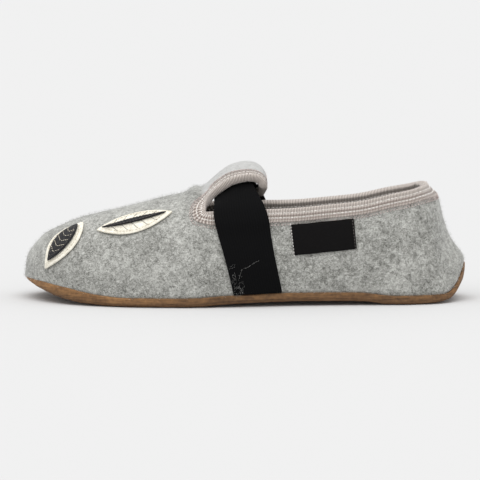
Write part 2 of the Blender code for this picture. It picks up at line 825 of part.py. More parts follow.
def strap_x(across, z):
    """The strap's slanted run, seen from the side."""
    lean = (z - SOLE_EDGE) * math.tan(STRAP_TILT)
    return (STRAP_AT - 0.5) * LENGTH + across * math.cos(STRAP_TILT) - lean


def strap_route(across):
    """One lengthwise line of the strap's outer face, from the outer sole edge to the inner one."""
    rise = across * math.sin(STRAP_TILT)
    start = strap_x(across, SOLE_EDGE)
    low = rim_height(turn_of(start)) + STRAP_ABOVE_SOLE + max(rise, 0.0)
    edge_x = strap_x(across, COLLAR_HEIGHT + rise)
    crown_x = strap_x(across, INSTEP_HEIGHT)
    edge_turn = turn_of(edge_x)
    over_tape = TAPE_GAP + TAPE_THICK + GAP + STRAP_THICK
    over_top = TAPE_GAP_INSIDE + TAPE_THICK + GAP + STRAP_THICK
    on_felt = GAP + STRAP_THICK
    top = collar(edge_turn)
    heights = list(np.linspace(low, top - STRAP_LIFT, 5))
    heights += [top - STRAP_LIFT_DONE, top - TAPE_DEPTH / 2]
    lines = {"outer": [], "inner": []}
    for side in SIDES:
        for z in heights:
            x = strap_x(across, z - rise)
            turn = turn_of(x)
            point, normal = wall_row(side, turn, collar(turn) - z)
            near_tape = ease((z - top + STRAP_LIFT) / (STRAP_LIFT - STRAP_LIFT_DONE))
            lines[side].append(point + normal * between(on_felt, over_tape, near_tape))
        lines[side].append(shoulder(side, edge_turn, over_top))
        lines[side] += under_flap(side, crown_x)
    crown = under_flap("outer", crown_x, middle=True)
    return lines["outer"] + crown + lines["inner"][::-1]


def shoulder(side, turn, offset):
    """Where the strap turns in over the tape's rolled top."""
    point, normal = wall_row(side, turn, 0.0)
    upwards = np.array([0.0, 0.0, 1.0])
    return point + (normal * math.cos(STRAP_SHOULDER) + upwards * math.sin(STRAP_SHOULDER)) * offset


def under_flap(side, x, middle=False):
    """Points of the strap's top face under the flap, a named clearance below it."""
    along = flap_along(x)
    clear = FELT + TAPE_GAP_INSIDE + TAPE_THICK + 2 * GAP
    width = flap_half_width(side) * smooth([r.along for r in FLAP], [r.width for r in FLAP], along)
    shares = [0.0] if middle else [1.0, 0.75, 0.5, 0.25]
    row = []
    for share in shares:
        y = SIDES[side] * width * share
        point = flap_point(along, y)
        slope = 2 * FLAP_CROWN * y / flap_half_width(side) ** 2
        normal = flap_up(along) + np.array([0.0, slope, 0.0])
        row.append(point - normal / np.linalg.norm(normal) * clear)
    return row


def flap_along(x):
    """The share along the flap's middle line at which it passes over this place."""
    shares = np.linspace(0, 0.6, 60)
    places = [flap_middle(share)[0] for share in shares]
    return float(np.interp(x, places, shares))


def add_strap():
    """The black elastic, from the sole up one quarter, under the flap and down the other."""
    points = []
    faces = []
    offsets = [STRAP_WIDTH * share for share in (-0.5, -0.25, 0.0, 0.25, 0.5)]
    rows = add_rows(points, [strap_route(across) for across in offsets])
    for first, second in zip(rows, rows[1:]):
        strip(faces, first, second)
    strap = add_object("elastic_strap", points, faces, "black_elastic")
    face_towards(strap, (0, 0, 1))
    add_wall(strap, STRAP_THICK)
    return strap


def add_label():
    """The bare woven label under the tape on the outer quarter."""
    middle = (LABEL_AT - 0.5) * LENGTH
    points = []
    faces = []
    grid = []
    for share in np.linspace(-0.5, 0.5, 8):
        x = middle + LABEL_LENGTH * share
        top = collar(turn_of(x)) - TAPE_DEPTH - 2 * GAP
        heights = top - LABEL_HEIGHT * np.linspace(0, 1, 5)
        shift = -LABEL_HEIGHT * np.linspace(0, 1, 5) * LABEL_SLANT
        grid.append([wall_spot(x - move, z, GAP + LABEL_THICK) for move, z in zip(shift, heights)])
    rows = add_rows(points, grid)
    for first, second in zip(rows, rows[1:]):
        strip(faces, first, second)
    label = add_object("side_label", points, faces, "woven_label")
    face_towards(label, (0, -1, 0))
    add_wall(label, LABEL_THICK)
    return label


def leaf_point(leaf, along, across, offset):
    """A point off the vamp's face, from lengths along and across a leaf."""
    turn_angle = math.radians(leaf.turn)
    forward = along * math.cos(turn_angle) - across * math.sin(turn_angle)
    upward = along * math.sin(turn_angle) + across * math.cos(turn_angle)
    x = (leaf.at - 0.5) * LENGTH + forward
    turn = turn_of(x)
    here = leaf.around * math.pi
    step = np.linalg.norm(vamp_point(turn, here + SMALL) - vamp_point(turn, here)) / SMALL
    around = here + upward / step
    normal = outwards(surface_normal(vamp_point, turn, around), (-0.5, 0, 1))
    return vamp_point(turn, around) + normal * offset


def add_leaf(leaf):
    """A pointed leaf of felt laid on the vamp, on top of the layers below it."""
    offset = (leaf.layer + 1) * (GAP + APPLIQUE_THICK)
    points = []
    faces = []
    rows = []
    for share in np.linspace(-1, 1, 13)[1:-1]:
        half = leaf.width / 2 * (1 - share**2) ** LEAF_FULLNESS
        along = leaf.length / 2 * share
        rows.append([leaf_point(leaf, along, half * part, offset) for part in np.linspace(-1, 1, 5)])
    tips = [leaf_point(leaf, leaf.length / 2 * end, 0.0, offset) for end in (-1, 1)]
    indices = add_rows(points, rows + [tips])
    first_tip, last_tip = indices[-1]
    ribs = [[first_tip] * 5] + indices[:-1] + [[last_tip] * 5]
    for first, second in zip(ribs, ribs[1:]):
        strip(faces, first, second)
    obj = add_object(leaf.name, points, faces, leaf.material)
    face_towards(obj, (0, 0, 1))
    add_wall(obj, APPLIQUE_THICK)
    return obj


def clear_scene():
    for obj in list(bpy.data.objects):
        bpy.data.objects.remove(obj)


def make_materials():
    for name, (colour, roughness, metallic) in MATERIALS.items():
        material = bpy.data.materials.new(name)
        material.use_nodes = True
        shader = material.node_tree.nodes["Principled BSDF"]
        shader.inputs["Base Color"].default_value = (*colour, 1)
        shader.inputs["Roughness"].default_value = roughness
        shader.inputs["Metallic"].default_value = metallic
        material.diffuse_color = (*colour, 1)


def main():
    clear_scene()
    make_materials()
    parts = bpy.data.collections.new("felt_slipper")
    bpy.context.scene.collection.children.link(parts)
    add_outsole()
    add_insole()
    add_upper()
    add_binding()
    add_strap()
    add_label()
    for leaf in LEAVES:
        add_leaf(leaf)


main()
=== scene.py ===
# %% [markdown]
# # Dressing a child's felt slipper
# The construction model holds the slipper's solids at their real size: felt upper, folded tape, elastic,
# label, applique, footbed and rubber sole. This lesson loads them as a fixed frame and gives every piece its
# finish. The soft pieces are modelled again in full detail from the same sizes, so they land in the same place.

import math
import random
from collections import namedtuple
from functools import cache

import bmesh
import bpy
import numpy as np
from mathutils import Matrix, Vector, noise
from mathutils.bvhtree import BVHTree


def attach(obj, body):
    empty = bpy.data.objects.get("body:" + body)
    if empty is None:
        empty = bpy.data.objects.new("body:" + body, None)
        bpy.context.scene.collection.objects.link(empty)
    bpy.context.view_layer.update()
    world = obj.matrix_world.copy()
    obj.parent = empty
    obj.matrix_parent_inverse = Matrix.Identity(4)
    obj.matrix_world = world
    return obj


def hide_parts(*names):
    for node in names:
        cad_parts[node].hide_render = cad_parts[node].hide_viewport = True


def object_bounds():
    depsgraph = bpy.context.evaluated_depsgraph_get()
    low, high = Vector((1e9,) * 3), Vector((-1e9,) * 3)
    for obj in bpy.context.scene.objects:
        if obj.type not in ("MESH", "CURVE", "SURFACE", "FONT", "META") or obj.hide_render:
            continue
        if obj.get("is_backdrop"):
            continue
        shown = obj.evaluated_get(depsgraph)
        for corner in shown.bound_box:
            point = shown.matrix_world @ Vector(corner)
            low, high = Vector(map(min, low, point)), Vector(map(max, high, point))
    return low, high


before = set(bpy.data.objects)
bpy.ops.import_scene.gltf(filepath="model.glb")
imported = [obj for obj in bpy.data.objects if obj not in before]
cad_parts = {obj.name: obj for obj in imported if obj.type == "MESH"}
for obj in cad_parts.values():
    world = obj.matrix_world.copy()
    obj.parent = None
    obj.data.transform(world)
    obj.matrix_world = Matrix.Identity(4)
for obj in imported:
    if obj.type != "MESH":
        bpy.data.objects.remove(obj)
cad_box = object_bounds()
print("nodes:", sorted(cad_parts))

# %% [markdown]
# ## The sizes of the last
# A shoemaker starts from a wooden last. Here it is a handful of sizes and five short tables: the outline in
# plan, the heights along the shoe, how the walls lean in, and the line of the instep flap. They are the values
# of the construction model, so a visual piece fits its solid. Three are eased by a millimetre or two to match
# the photo more closely: the arch, the place of the strap and the end of the flap's curl.

# %% Driving sizes in metres
# Driving sizes in metres.
MM = 0.001
LENGTH = 200 * MM
BALL_WIDTH = 76 * MM
HEEL_WIDTH = 56 * MM
TOE_HEIGHT = 33 * MM
INSTEP_HEIGHT = 53 * MM
COLLAR_HEIGHT = 42 * MM
HEEL_HEIGHT = 52.5 * MM
FELT = 3 * MM
GAP = 0.3 * MM

# The sole.
TOE_SPRING = 6 * MM
ARCH = 1.8 * MM
SOLE_EDGE = 4.2 * MM
SOLE_FLOOR = 3.2 * MM
TOE_CURL = 4 * MM
HEEL_CUP = 12.5 * MM
SIDE_CURL = 1.5 * MM
TOE_CURL_REACH = 12 * MM
HEEL_CURL_REACH = 14 * MM
SIDE_CURL_REACH = 3 * MM
LIP_BEYOND_FELT = 0.4 * MM
LAND = LIP_BEYOND_FELT + FELT + 0.4 * MM
INSOLE_THICK = 2 * MM
INSOLE_CLEAR = 1.2 * MM
FLOOR_SLOPE = 1 * MM
END_ZONE = 0.175
TOE_ARC = 0.7
HEEL_ARC = 0.45
HEEL_WRAP_ARC = 1.0
HEEL_ROUNDNESS = 0.5
HEEL_CENTRE = 0.35 * LENGTH

# The upper.
FELT_SKIRT = 2 * MM
SIDE_LEAN = 7 * MM
HEEL_LEAN = 17.5 * MM
NOTCH_AT = 0.41
SLOT_HEIGHT = 3.2 * MM
NEAR_NOTCH = 3 * MM
WALL_BLEND = 0.45
VAMP_ROUNDNESS = 2.3
FLAP_LENGTH = 28 * MM
FLAP_RISE = 9.5 * MM
FLAP_CROWN = 9.5 * MM
FLAP_TIP_FLATNESS = 0.6
FLAP_FLATTENS_AT = 0.5
FLAP_TIP_RADIUS = 9 * MM
FLAP_BLEND = 0.2
NOTCH_BLEND = 0.25

# The binding, the strap, the label and the applique.
TAPE_DEPTH = 5.4 * MM
TAPE_THICK = 0.8 * MM
TAPE_GAP = 0.4 * MM
TAPE_GAP_INSIDE = 0.7 * MM
STRAP_WIDTH = 21.5 * MM
STRAP_THICK = 1.2 * MM
STRAP_AT = 0.531
STRAP_TILT = math.radians(12.5)
STRAP_ABOVE_SOLE = 0.8 * MM
STRAP_LIFT = 1.8 * TAPE_DEPTH
STRAP_LIFT_DONE = 1.1 * TAPE_DEPTH
STRAP_SHOULDER = math.radians(65)
LABEL_SLANT = 0.08
LABEL_LENGTH = 28 * MM
LABEL_HEIGHT = 13.4 * MM
LABEL_THICK = 0.7 * MM
LABEL_AT = 0.675
APPLIQUE_THICK = 0.9 * MM
VAMP_LEAF_LENGTH = 34 * MM
VAMP_LEAF_WIDTH = 13 * MM
TOE_LEAF_LENGTH = 27 * MM
TOE_LEAF_WIDTH = 12.5 * MM
VEIN_LENGTH_SHARE = 0.85
VEIN_WIDTH_SHARE = 0.17
MIDDLE_LENGTH_SHARE = 0.76
MIDDLE_WIDTH_SHARE = 0.60
LEAF_FULLNESS = 1.0

# %% The outline in plan
SIDES = {"outer": -1, "inner": 1}

# Half-widths from the centre line: shares of the ball or heel width at shares of the length.
Outline = namedtuple("Outline", "at width outer inner")
OUTLINE = [
    Outline(0.00, BALL_WIDTH, -0.092, 0.092),
    Outline(0.02, BALL_WIDTH, 0.092, 0.276),
    Outline(0.05, BALL_WIDTH, 0.211, 0.355),
    Outline(0.10, BALL_WIDTH, 0.329, 0.421),
    Outline(0.18, BALL_WIDTH, 0.428, 0.480),
    Outline(0.28, BALL_WIDTH, 0.487, 0.500),
    Outline(0.38, BALL_WIDTH, 0.500, 0.467),
    Outline(0.50, BALL_WIDTH, 0.454, 0.388),
    Outline(0.62, BALL_WIDTH, 0.401, 0.355),
    Outline(0.75, HEEL_WIDTH, 0.500, 0.491),
    Outline(0.85, HEEL_WIDTH, 0.482, 0.500),
    Outline(0.92, HEEL_WIDTH, 0.428, 0.456),
    Outline(0.97, HEEL_WIDTH, 0.286, 0.322),
    Outline(1.00, HEEL_WIDTH, -0.018, 0.018),
]

# %% Heights along the shoe
# Heights along the length: a share of the size that each row follows.
Height = namedtuple("Height", "at size share")
SOLE_LINE = [
    Height(0.000, TOE_SPRING, 1.00),
    Height(0.050, TOE_SPRING, 0.61),
    Height(0.100, TOE_SPRING, 0.31),
    Height(0.150, TOE_SPRING, 0.11),
    Height(0.225, TOE_SPRING, 0.00),
    Height(0.375, ARCH, 0.00),
    Height(0.465, ARCH, 0.60),
    Height(0.620, ARCH, 1.00),
    Height(0.760, ARCH, 0.85),
    Height(0.830, ARCH, 0.00),
    Height(1.000, ARCH, 0.00),
]
RIM_LINE = [
    Height(0.00, SOLE_EDGE, 1.05),
    Height(0.05, SOLE_EDGE, 1.30),
    Height(0.10, SOLE_EDGE, 1.38),
    Height(0.17, SOLE_EDGE, 1.14),
    Height(0.23, SOLE_EDGE, 1.00),
    Height(1.00, SOLE_EDGE, 1.00),
]
CREST_LINE = [
    Height(0.0055, TOE_HEIGHT, 0.58),
    Height(0.0260, TOE_HEIGHT, 0.75),
    Height(0.0465, TOE_HEIGHT, 0.88),
    Height(0.0800, TOE_HEIGHT, 0.99),
    Height(0.1250, TOE_HEIGHT, 1.10),
    Height(0.1700, INSTEP_HEIGHT, 0.730),
    Height(0.2600, INSTEP_HEIGHT, 0.815),
    Height(0.3525, INSTEP_HEIGHT, 0.910),
    Height(0.4100, INSTEP_HEIGHT, 1.000),
    Height(1.0000, INSTEP_HEIGHT, 1.000),
]
COLLAR_LINE = [
    Height(0.41, COLLAR_HEIGHT, 0.985),
    Height(0.54, COLLAR_HEIGHT, 1.005),
    Height(0.60, COLLAR_HEIGHT, 1.010),
    Height(0.685, COLLAR_HEIGHT, 1.043),
    Height(0.76, COLLAR_HEIGHT, 1.080),
    Height(0.83, HEEL_HEIGHT, 0.922),
    Height(0.88, HEEL_HEIGHT, 0.952),
    Height(0.92, HEEL_HEIGHT, 0.980),
    Height(1.00, HEEL_HEIGHT, 1.000),
]

# %% The lean of the walls
# How far the wall leans in from the outline, from the sole (up = 0) to the collar (up = 1).
Lean = namedtuple("Lean", "up side heel")
LEAN = [
    Lean(0.00, 0.00, 0.00),
    Lean(0.05, 0.00, 0.00),
    Lean(0.14, -0.05, 0.11),
    Lean(0.31, 0.00, 0.36),
    Lean(0.47, 0.16, 0.50),
    Lean(0.66, 0.42, 0.60),
    Lean(0.82, 0.68, 0.67),
    Lean(0.92, 0.86, 0.86),
    Lean(1.00, 1.00, 1.00),
]

# %% The line of the instep flap
# The flap's middle line from the notches to its curled tip, and its half-width there.
Flap = namedtuple("Flap", "along forward rise width")
FLAP = [
    Flap(0.000, 0.000, 0.00, 1.00),
    Flap(0.094, 0.107, 0.25, 0.80),
    Flap(0.206, 0.239, 0.54, 0.75),
    Flap(0.367, 0.446, 0.87, 0.74),
    Flap(0.537, 0.700, 1.00, 0.73),
    Flap(0.624, 0.821, 0.92, 0.72),
    Flap(0.707, 0.921, 0.71, 0.71),
    Flap(0.795, 0.982, 0.37, 0.69),
    Flap(0.868, 0.993, 0.05, 0.67),
    Flap(0.943, 0.971, -0.26, 0.64),
    Flap(1.000, 0.925, -0.64, 0.60),
]

# %% [markdown]
# ## Reading the tables
# A table row is a share of a named size. A smooth curve runs through the rows without overshooting them,
# which straight lines would not give and a free spline would not promise. Sections are named by an angle, 0 at
# the toe tip and pi at the back of the heel, because equal angles crowd together where the ends turn round.

# %% Smooth curves and angles
SMALL = 1e-4
PART_STEP = 0.004


def smooth(knots, values, at):
    """Read a smooth curve that passes through the values and never overshoots them."""
    knots = np.asarray(knots, float)
    values = np.asarray(values, float)
    steps = np.diff(knots)
    slopes = np.diff(values) / steps
    tangents = np.zeros_like(values)
    tangents[0] = slopes[0]
    tangents[-1] = slopes[-1]
    for k in range(1, len(values) - 1):
        if slopes[k - 1] * slopes[k] > 0:
            tangents[k] = 2 * slopes[k - 1] * slopes[k] / (slopes[k - 1] + slopes[k])
    at = float(np.clip(at, knots[0], knots[-1]))
    k = int(np.clip(np.searchsorted(knots, at, side="right") - 1, 0, len(steps) - 1))
    t = (at - knots[k]) / steps[k]
    start = (1 + 2 * t) * (1 - t) ** 2 * values[k] + t * (1 - t) ** 2 * steps[k] * tangents[k]
    end = t * t * (3 - 2 * t) * values[k + 1] + t * t * (t - 1) * steps[k] * tangents[k + 1]
    return float(start + end)


def ease(value):
    """Go from 0 to 1 with level ends."""
    value = min(max(value, 0.0), 1.0)
    return value * value * (3 - 2 * value)


def between(first, second, part):
    return first + (second - first) * part


def turn_at(share):
    """Turn a share of the length into the angle of its section, so that both ends stay round."""
    return math.acos(1 - 2 * min(max(share, 0.0), 1.0))


def x_at(turn):
    return -LENGTH / 2 * math.cos(turn)


def turn_of(x):
    return turn_at(x / LENGTH + 0.5)


def height(line, share):
    """Read one of the tables of heights at a share of the length."""
    turns = [turn_at(row.at) for row in line]
    return smooth(turns, [row.size * row.share for row in line], turn_at(share))


@cache
def half_width(side, turn):
    turns = [turn_at(row.at) for row in OUTLINE]
    widths = [row.width * getattr(row, side) for row in OUTLINE]
    return smooth(turns, widths, turn)


def outline_point(side, turn, inset):
    """A point of the outline in plan, moved inwards along the outline's own normal."""
    sign = SIDES[side]
    point = np.array([x_at(turn), sign * half_width(side, turn)])
    ahead = np.array([x_at(turn + SMALL), sign * half_width(side, turn + SMALL)])
    behind = np.array([x_at(turn - SMALL), sign * half_width(side, turn - SMALL)])
    along = (ahead - behind) / np.linalg.norm(ahead - behind)
    inwards = sign * np.array([along[1], -along[0]])
    return point + inwards * inset

# %% The sole's lines
def toe_part(turn):
    """1 at the toe tip, 0 along the sides."""
    return 1 - ease(turn / TOE_ARC)


def heel_part(turn):
    """1 at the back of the heel, 0 along the sides."""
    return 1 - ease((math.pi - turn) / HEEL_ARC)


def heel_wrap(turn):
    """How much of the heel's own profile the wall has at this section."""
    return 1 - ease((math.pi - turn) / HEEL_WRAP_ARC)


@cache
def ground(x):
    """The middle of the sole's underside, with toe spring and arch."""
    return height(SOLE_LINE, x / LENGTH + 0.5)


@cache
def rim_height(turn):
    """The top of the sole's edge above the floor."""
    share = x_at(turn) / LENGTH + 0.5
    return ground(x_at(turn)) + height(RIM_LINE, share) + HEEL_CUP * heel_part(turn)


def feather(turn):
    """The height at which the felt starts."""
    return rim_height(turn) + GAP


@cache
def crest(turn):
    """The height of the ridge of the vamp. It meets the sole's edge at the toe tip."""
    first = CREST_LINE[0]
    first_turn = turn_at(first.at)
    if turn < first_turn:
        return between(feather(0.0), first.size * first.share, turn / first_turn)
    return height(CREST_LINE, x_at(turn) / LENGTH + 0.5)


@cache
def collar(turn):
    return height(COLLAR_LINE, x_at(turn) / LENGTH + 0.5)

# %% [markdown]
# ## The felt's own surface
# The vamp is a row of arched sections. Behind the notch the felt becomes two leaning quarters that join round
# the heel. Both are functions of an angle and a height, so any seam, label or stitch can ask where the felt is.

# %% The vamp and the quarters
NOTCH_TURN = turn_at(NOTCH_AT)
NOTCH_X = x_at(NOTCH_TURN)


@cache
def felt_edge(side, turn):
    """Where the outer face of the felt stands at the sole, measured across."""
    return SIDES[side] * (half_width(side, turn) - LIP_BEYOND_FELT)


def vamp_point(turn, around):
    """A point of the vamp's section: around is 0 at the outer sole edge and pi at the inner one."""
    low = feather(turn)
    power = 2 / VAMP_ROUNDNESS
    middle = (felt_edge("outer", turn) + felt_edge("inner", turn)) / 2
    ridge = between(middle, 0.0, ease(turn / NOTCH_TURN))
    side = "outer" if around <= math.pi / 2 else "inner"
    across = abs(math.cos(around)) ** power
    y = between(ridge, felt_edge(side, turn), across)
    z = between(low, crest(turn), abs(math.sin(around)) ** power)
    return np.array([x_at(turn), y, z])


def around_at_height(side, z):
    """The angle round the notch section at which the felt has this height."""
    share = (z - feather(NOTCH_TURN)) / (crest(NOTCH_TURN) - feather(NOTCH_TURN))
    angle = math.asin(max(share, 0.0) ** (VAMP_ROUNDNESS / 2))
    return angle if side == "outer" else math.pi - angle


def around_at_width(side, y):
    """The angle round the notch section at which the felt is this far from the middle."""
    share = abs(y / felt_edge(side, NOTCH_TURN))
    angle = math.acos(share ** (VAMP_ROUNDNESS / 2))
    return angle if side == "outer" else math.pi - angle


def wall_point(side, turn, z):
    """A point of the quarter's outer face: the vamp's section near the notch, then the leaning wall."""
    low = feather(turn)
    up = (z - low) / (collar(turn) - low)
    ups = [row.up for row in LEAN]
    at_side = SIDE_LEAN * smooth(ups, [row.side for row in LEAN], up)
    at_heel = HEEL_LEAN * smooth(ups, [row.heel for row in LEAN], up)
    lean = LIP_BEYOND_FELT + between(at_side, at_heel, heel_wrap(turn))
    wall = outline_point(side, turn, lean)
    share = min(max((z - low) / (crest(turn) - low), 0.0), 1.0)
    section = np.array([x_at(turn), felt_edge(side, turn)])
    section[1] *= (1 - share**VAMP_ROUNDNESS) ** (1 / VAMP_ROUNDNESS)
    x, y = between(section, wall, ease((turn - NOTCH_TURN) / WALL_BLEND))
    return np.array([x, y, z])


def notch_corner(side, part):
    """A point of the notch's blind end, from its lower corner (part 0) to its upper one (part 1)."""
    return around_at_height(side, collar(NOTCH_TURN) + SLOT_HEIGHT * part)

# %% The instep flap
@cache
def flap_half_width(side):
    return abs(vamp_point(NOTCH_TURN, notch_corner(side, 1.0))[1])


def flap_line(along, column, size):
    return size * smooth([row.along for row in FLAP], [getattr(row, column) for row in FLAP], along)


def flap_middle(along):
    x = NOTCH_X + flap_line(along, "forward", FLAP_LENGTH)
    z = crest(NOTCH_TURN) + flap_line(along, "rise", FLAP_RISE)
    return np.array([x, 0.0, z])


def flap_path_length():
    """The length of the flap's middle line over its rise and curl."""
    shares = np.linspace(0, 1, 60)
    points = [flap_middle(share)[[0, 2]] for share in shares]
    return float(np.sum(np.linalg.norm(np.diff(points, axis=0), axis=1)))


def flap_up(along):
    """The flap's upward normal on its middle line."""
    step = flap_middle(min(along + 0.01, 1.0)) - flap_middle(max(along - 0.01, 0.0))
    step /= np.linalg.norm(step)
    return np.array([-step[2], 0.0, step[0]])


def flap_point(along, y):
    """A point of the flap's outer face: arched across, and one with the vamp where it starts."""
    side = "outer" if y < 0 else "inner"
    drop = np.array([0.0, 0.0, FLAP_CROWN * (y / flap_half_width(side)) ** 2])
    flatter = FLAP_TIP_FLATNESS * ease((along - FLAP_FLATTENS_AT) / (1 - FLAP_FLATTENS_AT))
    point = flap_middle(along) - drop * (1 - flatter)
    start = flap_middle(0.0) - drop
    section = vamp_point(NOTCH_TURN, around_at_width(side, y))
    point += (section - start) * (1 - ease(along / FLAP_BLEND))
    point[1] = y
    return point


FLAP_PATH = flap_path_length()
print("flap, notch to tip:", round(FLAP_PATH * 1000, 1), "mm")


def flap_flat(side, part, inwards):
    """Place on the unrolled flap, in from its edge: share along it, and distance across."""

    def flat(at):
        at = min(max(at, 0.0), 1.0)
        along = 1 - (1 - at) ** 2
        width = flap_half_width(side) * smooth([r.along for r in FLAP], [r.width for r in FLAP], along)
        from_tip = (1 - along) * FLAP_PATH / FLAP_TIP_RADIUS
        if from_tip < 1:
            width *= math.sqrt(max(1 - (1 - from_tip) ** 2, 0.0))
        return np.array([along * FLAP_PATH, SIDES[side] * width])

    step = flat(part + PART_STEP) - flat(part - PART_STEP)
    step /= np.linalg.norm(step)
    normal = SIDES[side] * np.array([step[1], -step[0]])
    normal[0] *= ease(part / NOTCH_BLEND)
    normal /= np.linalg.norm(normal)
    if part == 1:
        normal = np.array([-1.0, 0.0])
    along, y = flat(part) + normal * inwards
    return along / FLAP_PATH, y


def flap_edge(side, part, inwards):
    """A point of the flap at a distance in from its edge; part runs from the notch to the tip."""
    return flap_point(*flap_flat(side, part, inwards))

# %% Points and normals along the free edge
def surface_normal(point_at, first, second, step=SMALL):
    """The normal of a surface function at two parameters, turned away from the shoe's inside."""
    across = point_at(first + step, second) - point_at(first - step, second)
    up = point_at(first, second + step) - point_at(first, second - step)
    normal = np.cross(across, up)
    return normal / np.linalg.norm(normal)


def outwards(normal, direction):
    return normal if np.dot(normal, direction) > 0 else -normal


def wall_row(side, turn, depth):
    """Point and outward normal on a quarter at a depth below the collar."""
    z = collar(turn) - depth
    point = wall_point(side, turn, z)
    end = min(turn, math.pi - 2 * SMALL)
    top = collar(end) - 2 * SMALL

    def at(first, second):
        return wall_point(side, first, second)

    normal = surface_normal(at, end, min(z, top))
    return point, outwards(normal, (point[0] - min(point[0], HEEL_CENTRE), point[1], 0.0))


def notch_row(side, part, depth):
    """Point and outward normal on the vamp at a depth from the notch's blind end."""
    slant = math.radians(45) * (2 * part - 1)
    turn = turn_of(NOTCH_X - depth * math.cos(slant))
    here = notch_corner(side, part)
    start = vamp_point(NOTCH_TURN, here)
    ahead = vamp_point(NOTCH_TURN, here + SMALL)
    reach = np.linalg.norm(ahead - start) / SMALL
    upwards = 1 if side == "outer" else -1
    around = here + upwards * depth * math.sin(slant) / reach
    return vamp_point(turn, around), outwards(surface_normal(vamp_point, turn, around), (0, 0, 1))


def flap_row(side, part, depth):
    """Point and outward normal on the flap at a depth from its edge."""
    point = flap_edge(side, part, depth)
    near = min(max(part, 0.02), 0.995)

    def at(first, second):
        return flap_edge(side, first, second)

    normal = surface_normal(at, near, depth + SMALL, step=SMALL)
    return point, outwards(normal, flap_up(1 - (1 - part) ** 2))

# %% [markdown]
# ## Mesh helpers
# Nearly every piece here is a grid of points: rows along it and columns across. One helper turns such a grid
# into a mesh and gives it a UV map in real metres, so a rib or a weave keeps its true size on any piece.

# %% Grids of points to meshes
def link_piece(name, mesh, *materials):
    """Add a smooth-shaded piece to the scene."""
    mesh.shade_smooth()
    for material in materials:
        mesh.materials.append(material)
    piece = bpy.data.objects.new(name, mesh)
    bpy.context.scene.collection.objects.link(piece)
    return piece


def path_lengths(points):
    """The length along a row of points, from its start to each of them."""
    steps = np.linalg.norm(np.diff(np.array(points), axis=0), axis=1)
    return np.concatenate([[0.0], np.cumsum(steps)])


def grid_mesh(name, rows, along, across, closed=False):
    """A mesh from rows of points, with a UV map in metres: along the rows, and across them."""
    count = len(rows)
    width = len(rows[0])
    points = [tuple(map(float, point)) for row in rows for point in row]
    faces = []
    places = []
    for i in range(count if closed else count - 1):
        after = (i + 1) % count
        for j in range(width - 1):
            faces.append((i * width + j, after * width + j, after * width + j + 1, i * width + j + 1))
            places += [(along[i], across[j]), (along[i + 1], across[j])]
            places += [(along[i + 1], across[j + 1]), (along[i], across[j + 1])]
    mesh = bpy.data.meshes.new(name)
    mesh.from_pydata(points, [], faces)
    layer = mesh.uv_layers.new(name="surface")
    layer.data.foreach_set("uv", np.array(places, dtype=np.float32).ravel())
    return mesh


# %% Turning faces, walls and smoothing
def face_out(piece, direction):
    """Turn an open surface round if most of its faces look away from the direction."""
    total = sum((face.normal * face.area for face in piece.data.polygons), Vector())
    if total.dot(Vector(direction)) < 0:
        piece.data.flip_normals()


def add_wall(piece, thickness, inner_material=0, rim_material=0):
    """Give an open surface a wall, inwards from the face that was modelled."""
    wall = piece.modifiers.new("wall", "SOLIDIFY")
    wall.thickness = thickness
    wall.offset = -1
    wall.material_offset = inner_material
    wall.material_offset_rim = rim_material


def smooth_mesh(piece, levels):
    """Round a piece with a subdivision surface."""
    rounding = piece.modifiers.new("rounding", "SUBSURF")
    rounding.levels = levels
    rounding.render_levels = levels


def bake_modifiers(piece):
    """Turn what the modifiers make into the piece's own mesh."""
    graph = bpy.context.evaluated_depsgraph_get()
    made = bpy.data.meshes.new_from_object(
        piece.evaluated_get(graph), preserve_all_data_layers=True, depsgraph=graph
    )
    piece.modifiers.clear()
    piece.data = made
    return piece


def hand_over(piece, slot, *nodes):
    """Let a finished piece ride on the slipper and stand for its solids. The slot is not used."""
    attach(piece, "root")
    if nodes:
        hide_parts(*nodes)
    triangles = sum(len(face.vertices) - 2 for face in piece.data.polygons)
    print(f"{piece.name}: {triangles} triangles")


# %% Reading and moving all points of a mesh at once
def read_points(mesh):
    flat = np.empty(len(mesh.vertices) * 3)
    mesh.vertices.foreach_get("co", flat)
    return flat.reshape(-1, 3)


def read_normals(mesh):
    flat = np.empty(len(mesh.vertices) * 3)
    mesh.vertices.foreach_get("normal", flat)
    return flat.reshape(-1, 3)


def write_points(mesh, points):
    mesh.vertices.foreach_set("co", points.ravel())
    mesh.update()


def lumps(points, size, seed):
    """Soft noise from -1 to 1 at each point, with features of the given size."""
    shift = Vector((seed * 3.1, seed * 1.7, seed * 2.3))
    return np.array([noise.noise(Vector(point) / size + shift) for point in points])


def store_values(mesh, name, values):
    """Keep one number for every point under a name that a material or a node tree can read."""
    layer = mesh.attributes.new(name, "FLOAT", "POINT")
    layer.data.foreach_set("value", np.asarray(values, dtype=np.float32))


def eased(values):
    values = np.clip(values, 0.0, 1.0)
    return values * values * (3 - 2 * values)

# %% [markdown]
# ## Shader maths as plain Python
# A material in Blender is a graph of nodes. Clicking it together is fine for one, but a recipe reads better as
# an expression. The class Shade wraps one output, and its operators add the Math nodes for us.

# %% One helper adds any node
def add_node(tree, kind, settings, values):
    """Add a node, set its options first, then feed its sockets with values or links."""
    node = tree.nodes.new(kind)
    for key, value in settings.items():
        if key == "stops":
            while len(node.color_ramp.elements) < len(value):
                node.color_ramp.elements.new(0.5)
            for element, (place, colour) in zip(node.color_ramp.elements, value):
                element.position = place
                element.color = (*colour, 1)
        else:
            setattr(node, key, value)
    for key, value in values.items():
        feed(tree, node.inputs[key], value)
    return node


def feed(tree, socket, value):
    """Link another node's output to a socket, or set the socket's own value."""
    if isinstance(value, Shade):
        value = value.output
    if isinstance(value, bpy.types.NodeSocket):
        tree.links.new(value, socket)
    else:
        socket.default_value = value


